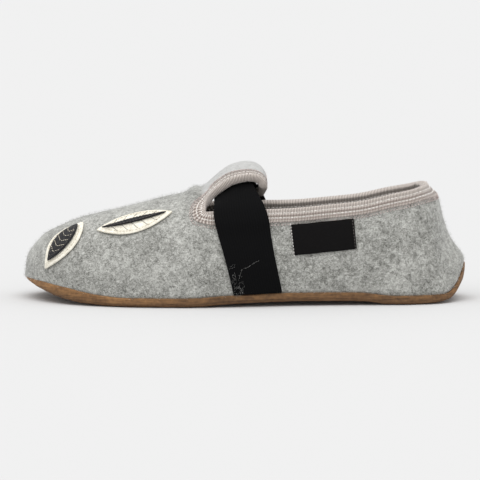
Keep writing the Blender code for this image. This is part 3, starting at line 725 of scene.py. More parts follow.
# %% Values that can be added and multiplied
class Shade:
    """One output of a shader node. Arithmetic on it adds Math nodes."""

    def __init__(self, tree, output):
        self.tree = tree
        self.output = output

    def math(self, operation, first, second):
        node = add_node(self.tree, "ShaderNodeMath", {"operation": operation}, {0: first, 1: second})
        return Shade(self.tree, node.outputs[0])

    def __add__(self, other):
        return self.math("ADD", self, other)

    def __radd__(self, other):
        return self.math("ADD", other, self)

    def __sub__(self, other):
        return self.math("SUBTRACT", self, other)

    def __rsub__(self, other):
        return self.math("SUBTRACT", other, self)

    def __mul__(self, other):
        return self.math("MULTIPLY", self, other)

    def __rmul__(self, other):
        return self.math("MULTIPLY", other, self)

    def sine(self):
        return self.math("SINE", self, 0.0)

    def power(self, exponent):
        return self.math("POWER", self, exponent)

    def least(self, other):
        return self.math("MINIMUM", self, other)

    def most(self, other):
        return self.math("MAXIMUM", self, other)


# %% A finish in the making
class Finish:
    """One material: a Principled shader and the patterns that feed it."""

    def __init__(self, name, **constants):
        self.material = bpy.data.materials.new(name)
        self.material.use_nodes = True
        self.tree = self.material.node_tree
        self.shader = self.tree.nodes["Principled BSDF"]
        for key, value in constants.items():
            self.shader.inputs[key.replace("_", " ")].default_value = value

    def node(self, kind, settings, values, output=0):
        node = add_node(self.tree, kind, settings, values)
        return Shade(self.tree, node.outputs[output])

    def place(self):
        return self.node("ShaderNodeTexCoord", {}, {}, "Object")

    def surface(self):
        """The piece's own UV map: metres along it and across it."""
        split = add_node(self.tree, "ShaderNodeSeparateXYZ", {}, {0: self.uv()})
        return Shade(self.tree, split.outputs[0]), Shade(self.tree, split.outputs[1])

    def uv(self):
        return self.node("ShaderNodeUVMap", {"uv_map": "surface"}, {})

    def value(self, name):
        return self.node("ShaderNodeAttribute", {"attribute_name": name}, {}, "Fac")

    def grain(self, size, detail=2.0, stretch=(1, 1, 1), twist=0.0, place=None):
        """Noise with features of a real size, longer in the directions that are stretched."""
        scale = tuple(1 / (size * part) for part in stretch)
        moved = self.node("ShaderNodeMapping", {}, {0: place or self.place(), "Scale": scale})
        values = {"Vector": moved, "Scale": 1.0, "Detail": detail, "Distortion": twist}
        return self.node("ShaderNodeTexNoise", {}, values)

    def spread(self, value, low, high):
        """0 below the low value, 1 above the high one."""
        return self.node("ShaderNodeMapRange", {}, {0: value, 1: low, 2: high})

    def ramp(self, value, *stops):
        return self.node("ShaderNodeValToRGB", {"stops": stops}, {0: value})

    def mix(self, first, second, amount):
        values = {0: amount, 6: first, 7: second}
        return self.node("ShaderNodeMix", {"data_type": "RGBA"}, values, 2)

    def done(self, colour, height=None, depth=0.0, roughness=None, strength=1.0):
        """Join the colour, the bump and the roughness to the shader."""
        feed(self.tree, self.shader.inputs["Base Color"], colour)
        if height is not None:
            values = {"Height": height, "Distance": depth, "Strength": strength}
            bump = self.node("ShaderNodeBump", {}, values)
            feed(self.tree, self.shader.inputs["Normal"], bump)
        if roughness is not None:
            feed(self.tree, self.shader.inputs["Roughness"], roughness)
        return self.material


def colour(red, green, blue):
    """A linear colour with full opacity, for a socket."""
    return (red, green, blue, 1.0)

# %% [markdown]
# ## The finishes
# Felt is a mat of wool fibres in several greys. From a step away it reads as fine salt and pepper over softer
# clouds, so its colour adds three grains of different size. The bump uses the same grains, which keeps light
# fibres raised. A little sheen gives the pale nap that shows where the felt turns away from the eye.

# %% Grey melange felt
def felt_pattern(finish):
    """Salt and pepper, tufts and clouds, added to one tone around 0.5."""
    salt = finish.grain(0.62 * MM, detail=2, twist=1.2)
    strands = finish.grain(0.7 * MM, detail=2, stretch=(3.0, 1, 1), twist=2.5)
    tufts = finish.grain(2.4 * MM, detail=2, twist=0.8)
    clouds = finish.grain(11 * MM, detail=1)
    return salt * 0.40 + strands * 0.22 + tufts * 0.25 + clouds * 0.13


def make_grey_felt():
    finish = Finish("grey_felt", Roughness=0.95, Sheen_Weight=0.3, Sheen_Roughness=0.45)
    finish.shader.inputs["Specular IOR Level"].default_value = 0.15
    tone = felt_pattern(finish)
    melange = finish.ramp(
        tone,
        (0.39, (0.110, 0.110, 0.099)),
        (0.46, (0.240, 0.240, 0.222)),
        (0.53, (0.370, 0.370, 0.346)),
        (0.61, (0.560, 0.560, 0.530)),
    )
    smoother = finish.ramp(tone, (0.38, (0.34, 0.34, 0.33)), (0.62, (0.52, 0.52, 0.51)))
    mixed = finish.mix(melange, smoother, finish.value("instep"))
    return finish.done(mixed, tone, depth=0.9 * MM, strength=0.6)


def make_painted_shade_lining():
    """The inside of the wall: the same wool, painted darker for the shade inside the shoe, and less even."""
    finish = Finish("lining_felt", Roughness=0.98, Sheen_Weight=0.2)
    finish.shader.inputs["Specular IOR Level"].default_value = 0.1
    tone = felt_pattern(finish)
    shade = finish.ramp(tone, (0.38, (0.055, 0.050, 0.045)), (0.62, (0.20, 0.185, 0.165)))
    return finish.done(shade, tone, depth=0.8 * MM, strength=0.6)


def make_wool_fibre():
    """Single fibres, each with its own grey."""
    finish = Finish("wool_fibre", Roughness=0.9, Sheen_Weight=0.3)
    finish.shader.inputs["Specular IOR Level"].default_value = 0.2
    shade = finish.ramp(
        finish.value("tone"),
        (0.0, (0.22, 0.22, 0.21)),
        (0.35, (0.50, 0.50, 0.48)),
        (1.0, (0.80, 0.81, 0.80)),
    )
    return finish.done(shade)


# %% Coloured felt for the applique
def make_applique_felt(name, dark, light):
    finish = Finish(name, Roughness=0.95, Sheen_Weight=0.25, Sheen_Roughness=0.5)
    finish.shader.inputs["Specular IOR Level"].default_value = 0.15
    tone = finish.grain(0.8 * MM, detail=3, twist=1.5) * 0.6 + finish.grain(3 * MM, detail=2) * 0.4
    shade = finish.ramp(tone, (0.36, dark), (0.62, light))
    return finish.done(shade, tone, depth=0.6 * MM, strength=0.6)


# %% [markdown]
# ### Tape, elastic and label
# These are woven or knitted, so their pattern follows the piece. The UV map holds metres along and across, and
# a sine of it makes ribs of a true width. The knit tape has short ribs across it, the elastic long ribs along it.

# %% Ribbed knit tape
def ribs(value, pitch):
    """Rounded ribs from 0 to 1, one for every pitch."""
    return (value * (2 * math.pi / pitch)).sine() * 0.5 + 0.5


SECOND_AT = 2.2 * MM
FIRST_AT = 4.5 * MM


def make_knit_tape():
    finish = Finish("knit_tape", Roughness=0.92, Sheen_Weight=0.3)
    finish.shader.inputs["Specular IOR Level"].default_value = 0.15
    along, across = finish.surface()
    wander = finish.grain(2.5 * MM, detail=2)
    rib = ribs(along + wander * 0.35 * MM, 0.70 * MM)
    course = ribs(across, 0.45 * MM)
    # Painted shade: the knit is drawn darker in the valleys along both sewn rows, where the tape is pulled in.
    off_first = (across - FIRST_AT).math("ABSOLUTE", across - FIRST_AT, 0.0)
    off_second = (across - SECOND_AT).math("ABSOLUTE", across - SECOND_AT, 0.0)
    clear_of_row_shade = finish.spread(off_first.least(off_second), 0.1 * MM, 0.9 * MM)
    fuzz = finish.grain(0.5 * MM, detail=3) * 0.35
    yarn = (rib * 0.60 + course * 0.14 + fuzz) * (clear_of_row_shade * 0.45 + 0.55)
    knit = finish.ramp(
        yarn,
        (0.15, (0.160, 0.126, 0.108)),
        (0.48, (0.410, 0.355, 0.318)),
        (0.78, (0.710, 0.650, 0.600)),
    )
    return finish.done(knit, rib * 0.7 + course * 0.3, depth=0.35 * MM, strength=0.8)


# %% Black elastic and woven label
def make_black_elastic():
    finish = Finish("black_elastic", Roughness=0.85)
    finish.shader.inputs["Specular IOR Level"].default_value = 0.06
    along, across = finish.surface()
    rib = ribs(across, 1.05 * MM)
    yarn = ribs(along, 0.42 * MM) * 0.35 + finish.grain(0.5 * MM, detail=3) * 0.5
    shade = finish.ramp(rib * 0.25 + yarn, (0.15, (0.0016, 0.0016, 0.0018)), (0.80, (0.0046, 0.0046, 0.0050)))
    return finish.done(shade, rib * 0.6 + yarn * 0.5, depth=0.10 * MM, strength=0.5)


def make_woven_label():
    finish = Finish("woven_label", Roughness=0.8)
    finish.shader.inputs["Specular IOR Level"].default_value = 0.08
    along, across = finish.surface()
    warp = ribs(along, 0.30 * MM)
    weft = ribs(across, 0.36 * MM)
    weave = warp * 0.5 + weft * 0.5
    fleck = weave * 0.6 + finish.grain(0.9 * MM, detail=3) * 0.4
    shade = finish.ramp(fleck, (0.25, (0.0020, 0.0018, 0.0020)), (0.8, (0.0075, 0.0068, 0.0068)))
    return finish.done(shade, weave, depth=0.12 * MM, strength=0.6)


def make_thread(name, dark, light):
    """Twisted sewing thread, with a slight change of tone from stitch to stitch."""
    finish = Finish(name, Roughness=0.7, Sheen_Weight=0.2)
    tone = finish.grain(1.3 * MM, detail=2)
    return finish.done(finish.ramp(tone, (0.35, dark), (0.65, light)), tone, depth=0.1 * MM)


# %% [markdown]
# ### Rubber and footbed
# The sole is tan crepe-like rubber. Its side has fine level striations from the mould and grows darker towards
# the lower edge. The underside has the same grain, scuffed lighter where it treads.

# %% Tan rubber
def make_tan_rubber():
    finish = Finish("tan_rubber", Roughness=0.6)
    finish.shader.inputs["Specular IOR Level"].default_value = 0.35
    low = finish.value("low")
    lines = finish.grain(0.5 * MM, detail=2, stretch=(12, 12, 1))
    crumb = finish.grain(1.6 * MM, detail=4)
    patches = finish.grain(14 * MM, detail=2)
    tone = lines * 0.4 + crumb * 0.35 + patches * 0.25
    side_tone = finish.ramp(tone, (0.36, (0.060, 0.027, 0.010)), (0.64, (0.262, 0.138, 0.056)))
    darker_low_edge = finish.ramp(tone, (0.36, (0.026, 0.012, 0.005)), (0.64, (0.140, 0.073, 0.030)))
    tread = finish.ramp(tone, (0.36, (0.150, 0.075, 0.034)), (0.64, (0.270, 0.150, 0.075)))
    toe = finish.ramp(tone, (0.36, (0.130, 0.062, 0.023)), (0.64, (0.350, 0.184, 0.072)))
    upper = finish.mix(side_tone, toe, finish.value("toe"))
    # The side grows darker towards its lower edge.
    side = finish.mix(upper, darker_low_edge, finish.spread(low, 0.25, 1.0))
    rubber = finish.mix(side, tread, finish.value("tread"))
    rough = finish.spread(tone, 0.3, 0.7) * 0.2 + 0.5
    return finish.done(rubber, tone, depth=0.8 * MM, roughness=rough, strength=0.5)


def make_footbed_felt():
    finish = Finish("footbed_felt", Roughness=0.97, Sheen_Weight=0.2)
    finish.shader.inputs["Specular IOR Level"].default_value = 0.1
    tone = felt_pattern(finish)
    shade = finish.ramp(tone, (0.38, (0.10, 0.095, 0.088)), (0.62, (0.34, 0.325, 0.30)))
    return finish.done(shade, tone, depth=0.8 * MM, strength=0.6)


# %% All the finishes
grey_felt = make_grey_felt()
lining_felt = make_painted_shade_lining()
wool_fibre = make_wool_fibre()
cream_felt = make_applique_felt("cream_felt", (0.60, 0.56, 0.46), (0.94, 0.90, 0.79))
black_felt = make_applique_felt("black_felt", (0.004, 0.004, 0.005), (0.022, 0.022, 0.024))
knit_tape = make_knit_tape()
black_elastic = make_black_elastic()
woven_label = make_woven_label()
white_thread = make_thread("white_thread", (0.56, 0.53, 0.50), (0.88, 0.85, 0.82))
rose_thread = make_thread("rose_thread", (0.34, 0.26, 0.24), (0.72, 0.62, 0.58))
lint_wool = make_thread("lint_wool", (0.20, 0.20, 0.19), (0.50, 0.50, 0.48))
dark_thread = make_thread("dark_thread", (0.03, 0.028, 0.027), (0.12, 0.10, 0.09))
cream_thread = make_thread("cream_thread", (0.48, 0.42, 0.32), (0.74, 0.68, 0.56))
tan_rubber = make_tan_rubber()
footbed_felt = make_footbed_felt()
print("finishes:", len(bpy.data.materials))

# %% [markdown]
# ## The felt upper
# A felt upper is cut flat, sewn and pulled over the last while it is damp. Here it is one open surface: arched
# vamp sections, two quarters that meet at the heel, and the flap that grows on from the vamp. Solidify gives it
# its 3 mm wall with an inside in painted shade, and one subdivision rounds it. Small lumps then make it look like
# felt.

# %% How finely the felt is drawn
VAMP_SECTIONS = 34
QUARTER_STEPS = 12
QUARTER_SECTIONS = 44
CROWN_STEPS = 16
FLAP_SECTIONS = 26
TAPE_ROWS = (0.0, 0.5, 1.0)
ACROSS_STEPS = 8


def add_rows(points, rows):
    """Store rows of points and return the rows of their indices."""
    indices = []
    for row in rows:
        indices.append(list(range(len(points), len(points) + len(row))))
        points.extend(row)
    return indices


def strip(faces, first, second, closed=False):
    """Join two rows of indices by faces, leaving out a corner that a pole repeats."""
    count = len(first)
    for k in range(count if closed else count - 1):
        after = (k + 1) % count
        corners = (first[k], first[after], second[after], second[k])
        distinct = list(dict.fromkeys(corners))
        if len(distinct) > 2:
            faces.append(distinct)


def quarter_turns():
    """Sections of the quarters behind the notch, the first one close to it."""
    close = turn_of(NOTCH_X + NEAR_NOTCH)
    return [close] + list(np.linspace(NOTCH_TURN, math.pi, QUARTER_SECTIONS + 1)[1:])


def flap_parts():
    """Steps along the flap's edge, the first one close to the notch."""
    return [0.0, 0.5 / FLAP_SECTIONS] + list(np.linspace(0, 1, FLAP_SECTIONS + 1)[1:])


def vamp_turns():
    """Sections of the vamp, the last few spaced like the rows under the tape."""
    plain = np.linspace(0, turn_of(NOTCH_X - 2 * TAPE_DEPTH), VAMP_SECTIONS)
    near = [turn_of(NOTCH_X - TAPE_DEPTH * share) for share in (1.0, 0.5, 0.0)]
    return list(plain) + near


def wall_heights(turn):
    """The heights of a quarter's rows: a short upright skirt, even steps, then the rows under the tape."""
    skirt = feather(turn) + FELT_SKIRT
    top = collar(turn)
    body = list(np.linspace(skirt, top - TAPE_DEPTH, QUARTER_STEPS + 1))
    return [feather(turn)] + body + [top - TAPE_DEPTH / 2, top]


def notch_angles():
    """The angles of the notch section's points, from the outer sole edge to the inner one."""
    halves = {}
    for side in SIDES:
        lower = [around_at_height(side, z) for z in wall_heights(NOTCH_TURN)]
        slot = [notch_corner(side, part) for part in (0.5, 1.0)]
        y = flap_half_width(side)
        under_tape = [around_at_width(side, y - TAPE_DEPTH * share) for share in (0.5, 1.0)]
        halves[side] = lower + slot + under_tape
    crown = np.linspace(halves["outer"][-1], halves["inner"][-1], CROWN_STEPS + 1)
    return halves["outer"] + list(crown[1:-1]) + halves["inner"][::-1]

# %% Columns of the quarters and rows of the flap
def quarter_columns(points, first, last):
    """Columns of the quarters from the outer notch round the heel to the inner notch."""
    turns = quarter_turns()
    route = [("outer", turn) for turn in turns] + [("inner", turn) for turn in turns[-2::-1]]
    columns = [[wall_point(side, turn, z) for z in wall_heights(turn)] for side, turn in route]
    return [first] + add_rows(points, columns) + [last]


def flap_rows(points, notch_row):
    """The flap's rows along its edge, and its sections between them."""
    parts = flap_parts()
    last = len(parts) - 1
    route = [("outer", part) for part in parts[1:]]
    route += [("inner", part) for part in parts[-2:0:-1]]
    columns = [[flap_edge(side, part, TAPE_DEPTH * row) for row in TAPE_ROWS] for side, part in route]
    reach = len(TAPE_ROWS)
    edge = [notch_row[:reach]] + add_rows(points, columns) + [notch_row[: -reach - 1 : -1]]
    sections = [notch_row[reach - 1 : len(notch_row) - reach + 1]]
    for k in range(1, last):
        start = np.array(flap_flat("outer", parts[k], TAPE_DEPTH))
        end = np.array(flap_flat("inner", parts[k], TAPE_DEPTH))
        shares = np.arange(1, CROWN_STEPS) / CROWN_STEPS
        inside = [flap_point(*between(start, end, share)) for share in shares]
        sections.append([edge[k][-1]] + add_rows(points, [inside])[0] + [edge[-1 - k][-1]])
    sections.append([edge[last][-1]] * (CROWN_STEPS + 1))
    return edge, sections

# %% Stations of the free edge
NOTCH_STEPS = 7


def edge_stations():
    """Every station of the free edge as a reader, a side and a place: outer side first, from the heel."""
    quarters = quarter_turns()
    flap = flap_parts()[1:]
    slot = list(np.linspace(0, 1, NOTCH_STEPS))
    stations = [(wall_row, "outer", turn) for turn in quarters[::-1]]
    stations += [(notch_row, "outer", part) for part in slot]
    stations += [(flap_row, "outer", part) for part in flap]
    stations += [(flap_row, "inner", part) for part in flap[-2::-1]]
    stations += [(notch_row, "inner", part) for part in slot[::-1]]
    stations += [(wall_row, "inner", turn) for turn in quarters[:-1]]
    return stations


FLAP_TAPE = 0.64
NARROWS_AT = 0.35


def tape_depth(station):
    """How deep the tape grips: less along the flap, where it is pulled round the edge."""
    read, side, place = station
    if read is not flap_row:
        return TAPE_DEPTH
    return TAPE_DEPTH * between(1.0, FLAP_TAPE, float(eased(place / NARROWS_AT)))


STATIONS = edge_stations()
print("edge stations:", len(STATIONS))

# %% The open felt surface
def felt_surface():
    points = []
    faces = []
    angles = notch_angles()
    turns = vamp_turns()
    tip = add_rows(points, [[vamp_point(0.0, 0.0)]])[0][0]
    rows = [[vamp_point(turn, around) for around in angles] for turn in turns[1:]]
    sections = [[tip] * len(angles)] + add_rows(points, rows)
    notch = sections[-1]
    low = len(wall_heights(NOTCH_TURN))
    columns = quarter_columns(points, notch[:low], notch[: -low - 1 : -1])
    edge, crown = flap_rows(points, notch[low + 1 : len(notch) - low - 1])
    for grid in (sections, columns, edge, crown):
        for first, second in zip(grid, grid[1:]):
            strip(faces, first, second)
    mesh = bpy.data.meshes.new("felt_upper")
    mesh.from_pydata([tuple(map(float, point)) for point in points], [], faces)
    made = bmesh.new()
    made.from_mesh(mesh)
    bmesh.ops.recalc_face_normals(made, faces=made.faces)
    made.to_mesh(mesh)
    made.free()
    return mesh


felt_upper = link_piece("felt_upper", felt_surface(), grey_felt, lining_felt)
face_out(felt_upper, (0, 0, 1))
# The inner face takes the lining, the same wool painted darker for shade.
add_wall(felt_upper, FELT, inner_material=1)
smooth_mesh(felt_upper, 1)
bake_modifiers(felt_upper)
print("felt points:", len(felt_upper.data.vertices))

# %% [markdown]
# ### Lumps, the ridge and the crease
# Where the vamp ends, the felt stands up in a low ridge with a crease behind it, and the flap starts from there.
# Both are placed from the notch. The wall as a whole is a little uneven, as hand-lasted felt is, and
# it is pressed thinner where the tape will grip it. At its foot it swells a little over the sole's edge.

# %% Shape the felt
RIDGE_BEFORE_NOTCH = 4.9 * MM
RIDGE_HALF = 2.3 * MM
RIDGE_HEIGHT = 0.9 * MM
DIP_BEFORE_NOTCH = 4 * MM
DIP_HALF = 9 * MM
DIP_DEPTH = 1.7 * MM
CREASE_BEFORE_NOTCH = 2.0 * MM
CREASE_HALF = 1.1 * MM
CREASE_DEPTH = 0.8 * MM
PRESSED = 0.5 * MM
OVER_SOLE = 0.3 * MM
INTO_SOLE = 0.7 * MM
FOOT_OF_WALL = 2.0 * MM
lengths = np.linspace(-LENGTH / 2, LENGTH / 2, 400)
rim_heights = [rim_height(turn_of(x)) for x in lengths]


def hump(x, centre, half):
    return np.exp(-(((x - centre) / half) ** 2))


def depth_from_edge(points):
    """How far each point lies from the free edge, as a share of the tape's depth."""
    edge = np.array([read(side, place, 0.0)[0] for read, side, place in STATIONS])
    depths = np.array([tape_depth(station) for station in STATIONS])
    return np.array([(np.linalg.norm(edge - point, axis=1) / depths).min() for point in points])


def shape_felt(mesh):
    points = read_points(mesh)
    depth = depth_from_edge(points)
    gripped = 1 - eased((depth - 0.85) / 0.25)
    normals = read_normals(mesh)
    x, y, z = points.T
    reach = flap_half_width("outer")
    on_top = eased((1.1 * reach - np.abs(y)) / (0.5 * reach)) * (z > COLLAR_HEIGHT)
    ridge = RIDGE_HEIGHT * hump(x, NOTCH_X - RIDGE_BEFORE_NOTCH, RIDGE_HALF)
    crease = CREASE_DEPTH * hump(x, NOTCH_X - CREASE_BEFORE_NOTCH, CREASE_HALF)
    crease += DIP_DEPTH * hump(x, NOTCH_X - DIP_BEFORE_NOTCH, DIP_HALF)
    uneven = lumps(points, 13 * MM, 1) * 0.35 * MM + lumps(points, 2.6 * MM, 2) * 0.12 * MM
    flap = eased((x - NOTCH_X + CREASE_BEFORE_NOTCH) / (2 * MM)) * (z > COLLAR_HEIGHT + 3.5 * MM)
    flap *= x < NOTCH_X + FLAP_LENGTH + 3 * MM
    uneven *= (1 - 0.6 * flap) * (1 - gripped)
    uneven -= PRESSED * gripped
    foot = eased(1 - (z - np.interp(x, lengths, rim_heights)) / FOOT_OF_WALL)
    uneven += OVER_SOLE * foot
    points += normals * uneven[:, None]
    points[:, 2] -= INTO_SOLE * foot
    points[:, 2] += (ridge - crease) * on_top
    write_points(mesh, points)
    store_values(mesh, "instep", flap)
    return points, flap, depth


felt_points, on_flap, edge_depth = shape_felt(felt_upper.data)

# %% [markdown]
# ### The nap
# Loose fibres stand off real felt, most of all along the ridge, at the toe and down the heel, and some lie over
# the sole's edge. Geometry Nodes scatter a short bent fibre over the outer faces. Each fibre is three flat
# facets, which keeps tens of thousands of them light, and each stores its own tone.

# %% Leaves of felt, which the nap leaves free
# Leaf-shaped applique: centre, size and turn on the vamp, and the layer that each lies on.
Leaf = namedtuple("Leaf", "name at around length width turn layer material")
LEAVES = [
    Leaf("vamp_leaf", 0.255, 0.300, VAMP_LEAF_LENGTH, VAMP_LEAF_WIDTH, 4, 0, "cream_felt"),
    Leaf("vamp_leaf_vein", 0.255, 0.300, VAMP_LEAF_LENGTH * VEIN_LENGTH_SHARE,
         VAMP_LEAF_WIDTH * VEIN_WIDTH_SHARE, 4, 1, "black_felt"),
    Leaf("toe_leaf", 0.097, 0.250, TOE_LEAF_LENGTH, TOE_LEAF_WIDTH, 52, 0, "cream_felt"),
    Leaf("toe_leaf_middle", 0.097, 0.250, TOE_LEAF_LENGTH * MIDDLE_LENGTH_SHARE,
         TOE_LEAF_WIDTH * MIDDLE_WIDTH_SHARE, 52, 1, "black_felt"),
]


def leaf_point(leaf, along, across, offset):
    """A point off the vamp's face, from lengths along and across a leaf."""
    turn_angle = math.radians(leaf.turn)
    forward = along * math.cos(turn_angle) - across * math.sin(turn_angle)
    upward = along * math.sin(turn_angle) + across * math.cos(turn_angle)
    x = (leaf.at - 0.5) * LENGTH + forward
    turn = turn_of(x)
    here = leaf.around * math.pi
    step = np.linalg.norm(vamp_point(turn, here + SMALL) - vamp_point(turn, here)) / SMALL
    around = here + upward / step
    normal = outwards(surface_normal(vamp_point, turn, around), (-0.5, 0, 1))
    return vamp_point(turn, around) + normal * offset


# %% Where the fibres grow
NAP_REACH = 0.6 * MM
LABEL_RISE = 1.02


def covered(points, depth):
    """1 where the tape, the strap, the label or the applique lies on the felt."""
    x, y, z = points.T
    hidden = depth < 1.0
    strap_middle = (STRAP_AT - 0.5) * LENGTH - (z - SOLE_EDGE) * math.tan(STRAP_TILT)
    hidden |= np.abs(x - strap_middle) * math.cos(STRAP_TILT) < STRAP_WIDTH / 2 + NAP_REACH
    label_top = COLLAR_HEIGHT * LABEL_RISE - TAPE_DEPTH
    beside = np.abs(x - (LABEL_AT - 0.5) * LENGTH - 0.5 * MM) < LABEL_LENGTH / 2 + NAP_REACH
    hidden |= beside & (y < 0) & (z > label_top - LABEL_HEIGHT - NAP_REACH)
    for leaf in LEAVES:
        middle = leaf_point(leaf, 0.0, 0.0, 0.0)
        ahead = leaf_point(leaf, leaf.length / 2, 0.0, 0.0) - middle
        share = (points - middle) @ ahead / (ahead @ ahead)
        off_line = points - middle - share[:, None] * ahead
        half = leaf.width / 2 * np.clip(1 - share**2, 0, 1) ** LEAF_FULLNESS
        hidden |= (np.abs(share) < 1) & (np.linalg.norm(off_line, axis=1) < half + NAP_REACH)
    return hidden.astype(float)


def nap_density(points, flap, depth):
    """1 over the plain felt, more on its outline and along the sole, none under what is sewn on."""
    x, y, z = points.T
    above_sole = z - np.interp(x, lengths, rim_heights)
    ridge = hump(x, NOTCH_X - RIDGE_BEFORE_NOTCH, 4 * MM) * (z > COLLAR_HEIGHT)
    heel = eased((x - 0.36 * LENGTH) / (8 * MM)) * (np.abs(y) < 0.3 * HEEL_WIDTH)
    crown = eased((12 * MM - np.abs(y)) / (8 * MM)) * (x < NOTCH_X)
    along_sole = np.exp(-np.maximum(above_sole, 0.0) / (1.5 * MM))
    density = 0.8 + 2.0 * ridge + 2.4 * heel + 1.8 * crown + 2.5 * along_sole
    return density * (1 - 0.85 * flap) * (1 - covered(points, depth))


store_values(felt_upper.data, "nap", nap_density(felt_points, on_flap, edge_depth))

# %% [markdown]
# ## Building Geometry Nodes in code
# The same small helper that adds shader nodes adds geometry nodes. A tree gets its sizes as named inputs, so
# one tree serves several rows of stitches. The result ends as a plain mesh, because an exporter drops instances.

# %% A tree with named sizes
class Growth:
    """A Geometry Nodes tree under construction."""

    def __init__(self, name, **sizes):
        self.tree = bpy.data.node_groups.new(name, "GeometryNodeTree")
        self.identifiers = {}
        face = self.tree.interface
        face.new_socket(name="Geometry", in_out="OUTPUT", socket_type="NodeSocketGeometry")
        face.new_socket(name="Geometry", in_out="INPUT", socket_type="NodeSocketGeometry")
        for key, kind in sizes.items():
            socket = face.new_socket(name=key, in_out="INPUT", socket_type=kind)
            self.identifiers[key] = socket.identifier
        self.start = self.tree.nodes.new("NodeGroupInput")
        self.end = self.tree.nodes.new("NodeGroupOutput")

    def size(self, name):
        return self.start.outputs[name]

    def node(self, kind, settings=None, output=0, **values):
        named = {int(key[1:]) if key[0] == "_" else key: value for key, value in values.items()}
        return add_node(self.tree, kind, settings or {}, named).outputs[output]

    def finish(self, geometry, material):
        """Make real meshes of the instances and give them their finish."""
        solid = self.node("GeometryNodeRealizeInstances", _0=geometry)
        shaded = self.node("GeometryNodeSetShadeSmooth", _0=solid)
        done = self.node("GeometryNodeSetMaterial", _0=shaded, Material=material)
        self.tree.links.new(done, self.end.inputs[0])
        return self


def grow(name, source, growth, **sizes):
    """Run a tree on a copy of a mesh and return what it grew as a plain piece."""
    piece = bpy.data.objects.new(name, source)
    bpy.context.scene.collection.objects.link(piece)
    modifier = piece.modifiers.new("growth", "NODES")
    modifier.node_group = growth.tree
    for key, value in sizes.items():
        modifier[growth.identifiers[key]] = value
    bake_modifiers(piece)
    return piece

# %% A tree that grows fibres
INTEGER = "NodeSocketInt"
NUMBER = "NodeSocketFloat"
MATERIAL = "NodeSocketMaterial"


def fibre_shape(growth):
    """One bent fibre of three flat facets, one unit tall."""
    bend = growth.node(
        "GeometryNodeCurveQuadraticBezier",
        Resolution=3,
        Start=(0.0, 0.0, -0.1),
        Middle=(0.10, 0.0, 0.55),
        End=(0.62, 0.10, 0.95),
    )
    half = growth.node("GeometryNodeCurvePrimitiveLine", Start=(0.0, -0.5, 0.0), End=(0.0, 0.5, 0.0))
    thin = growth.node("GeometryNodeTransform", _0=half, Scale=growth.node(
        "ShaderNodeCombineXYZ", X=1.0, Y=growth.size("Thickness"), Z=1.0))
    return growth.node("GeometryNodeCurveToMesh", Curve=bend, _1=thin)


def fibre_tree():
    growth = Growth("fibres", Density=NUMBER, Length=NUMBER, Thickness=NUMBER, Lean=NUMBER,
                    Seed=INTEGER, Skin=MATERIAL, Finish=MATERIAL)
    nap = growth.node("GeometryNodeInputNamedAttribute", {"data_type": "FLOAT"}, Name="nap")
    dense = growth.node("ShaderNodeMath", {"operation": "MULTIPLY"}, _0=nap, _1=growth.size("Density"))
    outer = growth.node("GeometryNodeMaterialSelection", Material=growth.size("Skin"))
    scatter = add_node(growth.tree, "GeometryNodeDistributePointsOnFaces", {}, {
        "Mesh": growth.size("Geometry"), "Selection": outer, "Density": dense, "Seed": growth.size("Seed")})
    most = growth.node("ShaderNodeCombineXYZ", X=growth.size("Lean"), Y=growth.size("Lean"), Z=math.pi)
    least = growth.node("ShaderNodeVectorMath", {"operation": "SCALE"}, _0=most, Scale=-1.0)
    swing = growth.node("FunctionNodeRandomValue", {"data_type": "FLOAT_VECTOR"}, Min=least, Max=most)
    turn = growth.node("FunctionNodeEulerToRotation", _0=swing)
    facing = growth.node("FunctionNodeRotateRotation", {"rotation_space": "LOCAL"},
                         Rotation=scatter.outputs["Rotation"], _1=turn)
    tall = growth.node("FunctionNodeRandomValue", {"data_type": "FLOAT"}, output=1, _2=0.35, _3=1.25, Seed=7)
    length = growth.node("ShaderNodeMath", {"operation": "MULTIPLY"}, _0=tall, _1=growth.size("Length"))
    spots = growth.node("GeometryNodeInstanceOnPoints", Points=scatter.outputs["Points"],
                        Instance=fibre_shape(growth), Rotation=facing, Scale=length)
    tone = growth.node("FunctionNodeRandomValue", {"data_type": "FLOAT"}, output=1, Seed=11)
    toned = growth.node("GeometryNodeStoreNamedAttribute", {"data_type": "FLOAT", "domain": "INSTANCE"},
                        _0=spots, Name="tone", Value=tone)
    return growth.finish(toned, growth.size("Finish"))


fibres = fibre_tree()
felt_nap = grow("felt_nap", felt_upper.data, fibres, Density=700000.0, Length=1.0 * MM, Thickness=0.045,
                Lean=1.15, Seed=3, Skin=grey_felt, Finish=wool_fibre)
hand_over(felt_upper, "grey_felt", "upper")
hand_over(felt_nap, "grey_felt")

# %% [markdown]
# ## The knit tape round the edge
# A ribbed tape is folded over the raw edge of the felt and sewn through with two lengthwise rows. It runs in one
# loop: round the collar, into both notches and round the flap. Its outer face swells between the sewn rows, and
# its top is a soft roll. The profile is a short table, carried along the stations of the edge.

# %% The tape's folds
Fold = namedtuple("Fold", "depth rise")
TAPE_OUTSIDE = [
    Fold(1.00, -0.10),
    Fold(0.985, 0.40),
    Fold(0.93, 0.70),
    Fold(0.82, 0.88),
    Fold(0.70, 0.76),
    Fold(0.64, 0.62),
    Fold(0.58, 0.76),
    Fold(0.45, 1.00),
    Fold(0.33, 0.86),
    Fold(0.26, 0.70),
    Fold(0.20, 0.84),
    Fold(0.08, 1.00),
]
TAPE_INSIDE = [Fold(0.10, 1.00), Fold(0.25, 0.85), Fold(0.40, 0.95), Fold(0.52, 0.75), Fold(0.56, -0.1)]
ROLL_ANGLES = np.radians([12, 40, 68, 96, 124, 150, 172])
ROLL_RISE = 1.0 * MM
FIRST_ROW = 0.26
SECOND_ROW = 0.64


SEARCH = 2.2 * MM
felt_tree = BVHTree.FromObject(felt_upper, bpy.context.evaluated_depsgraph_get())


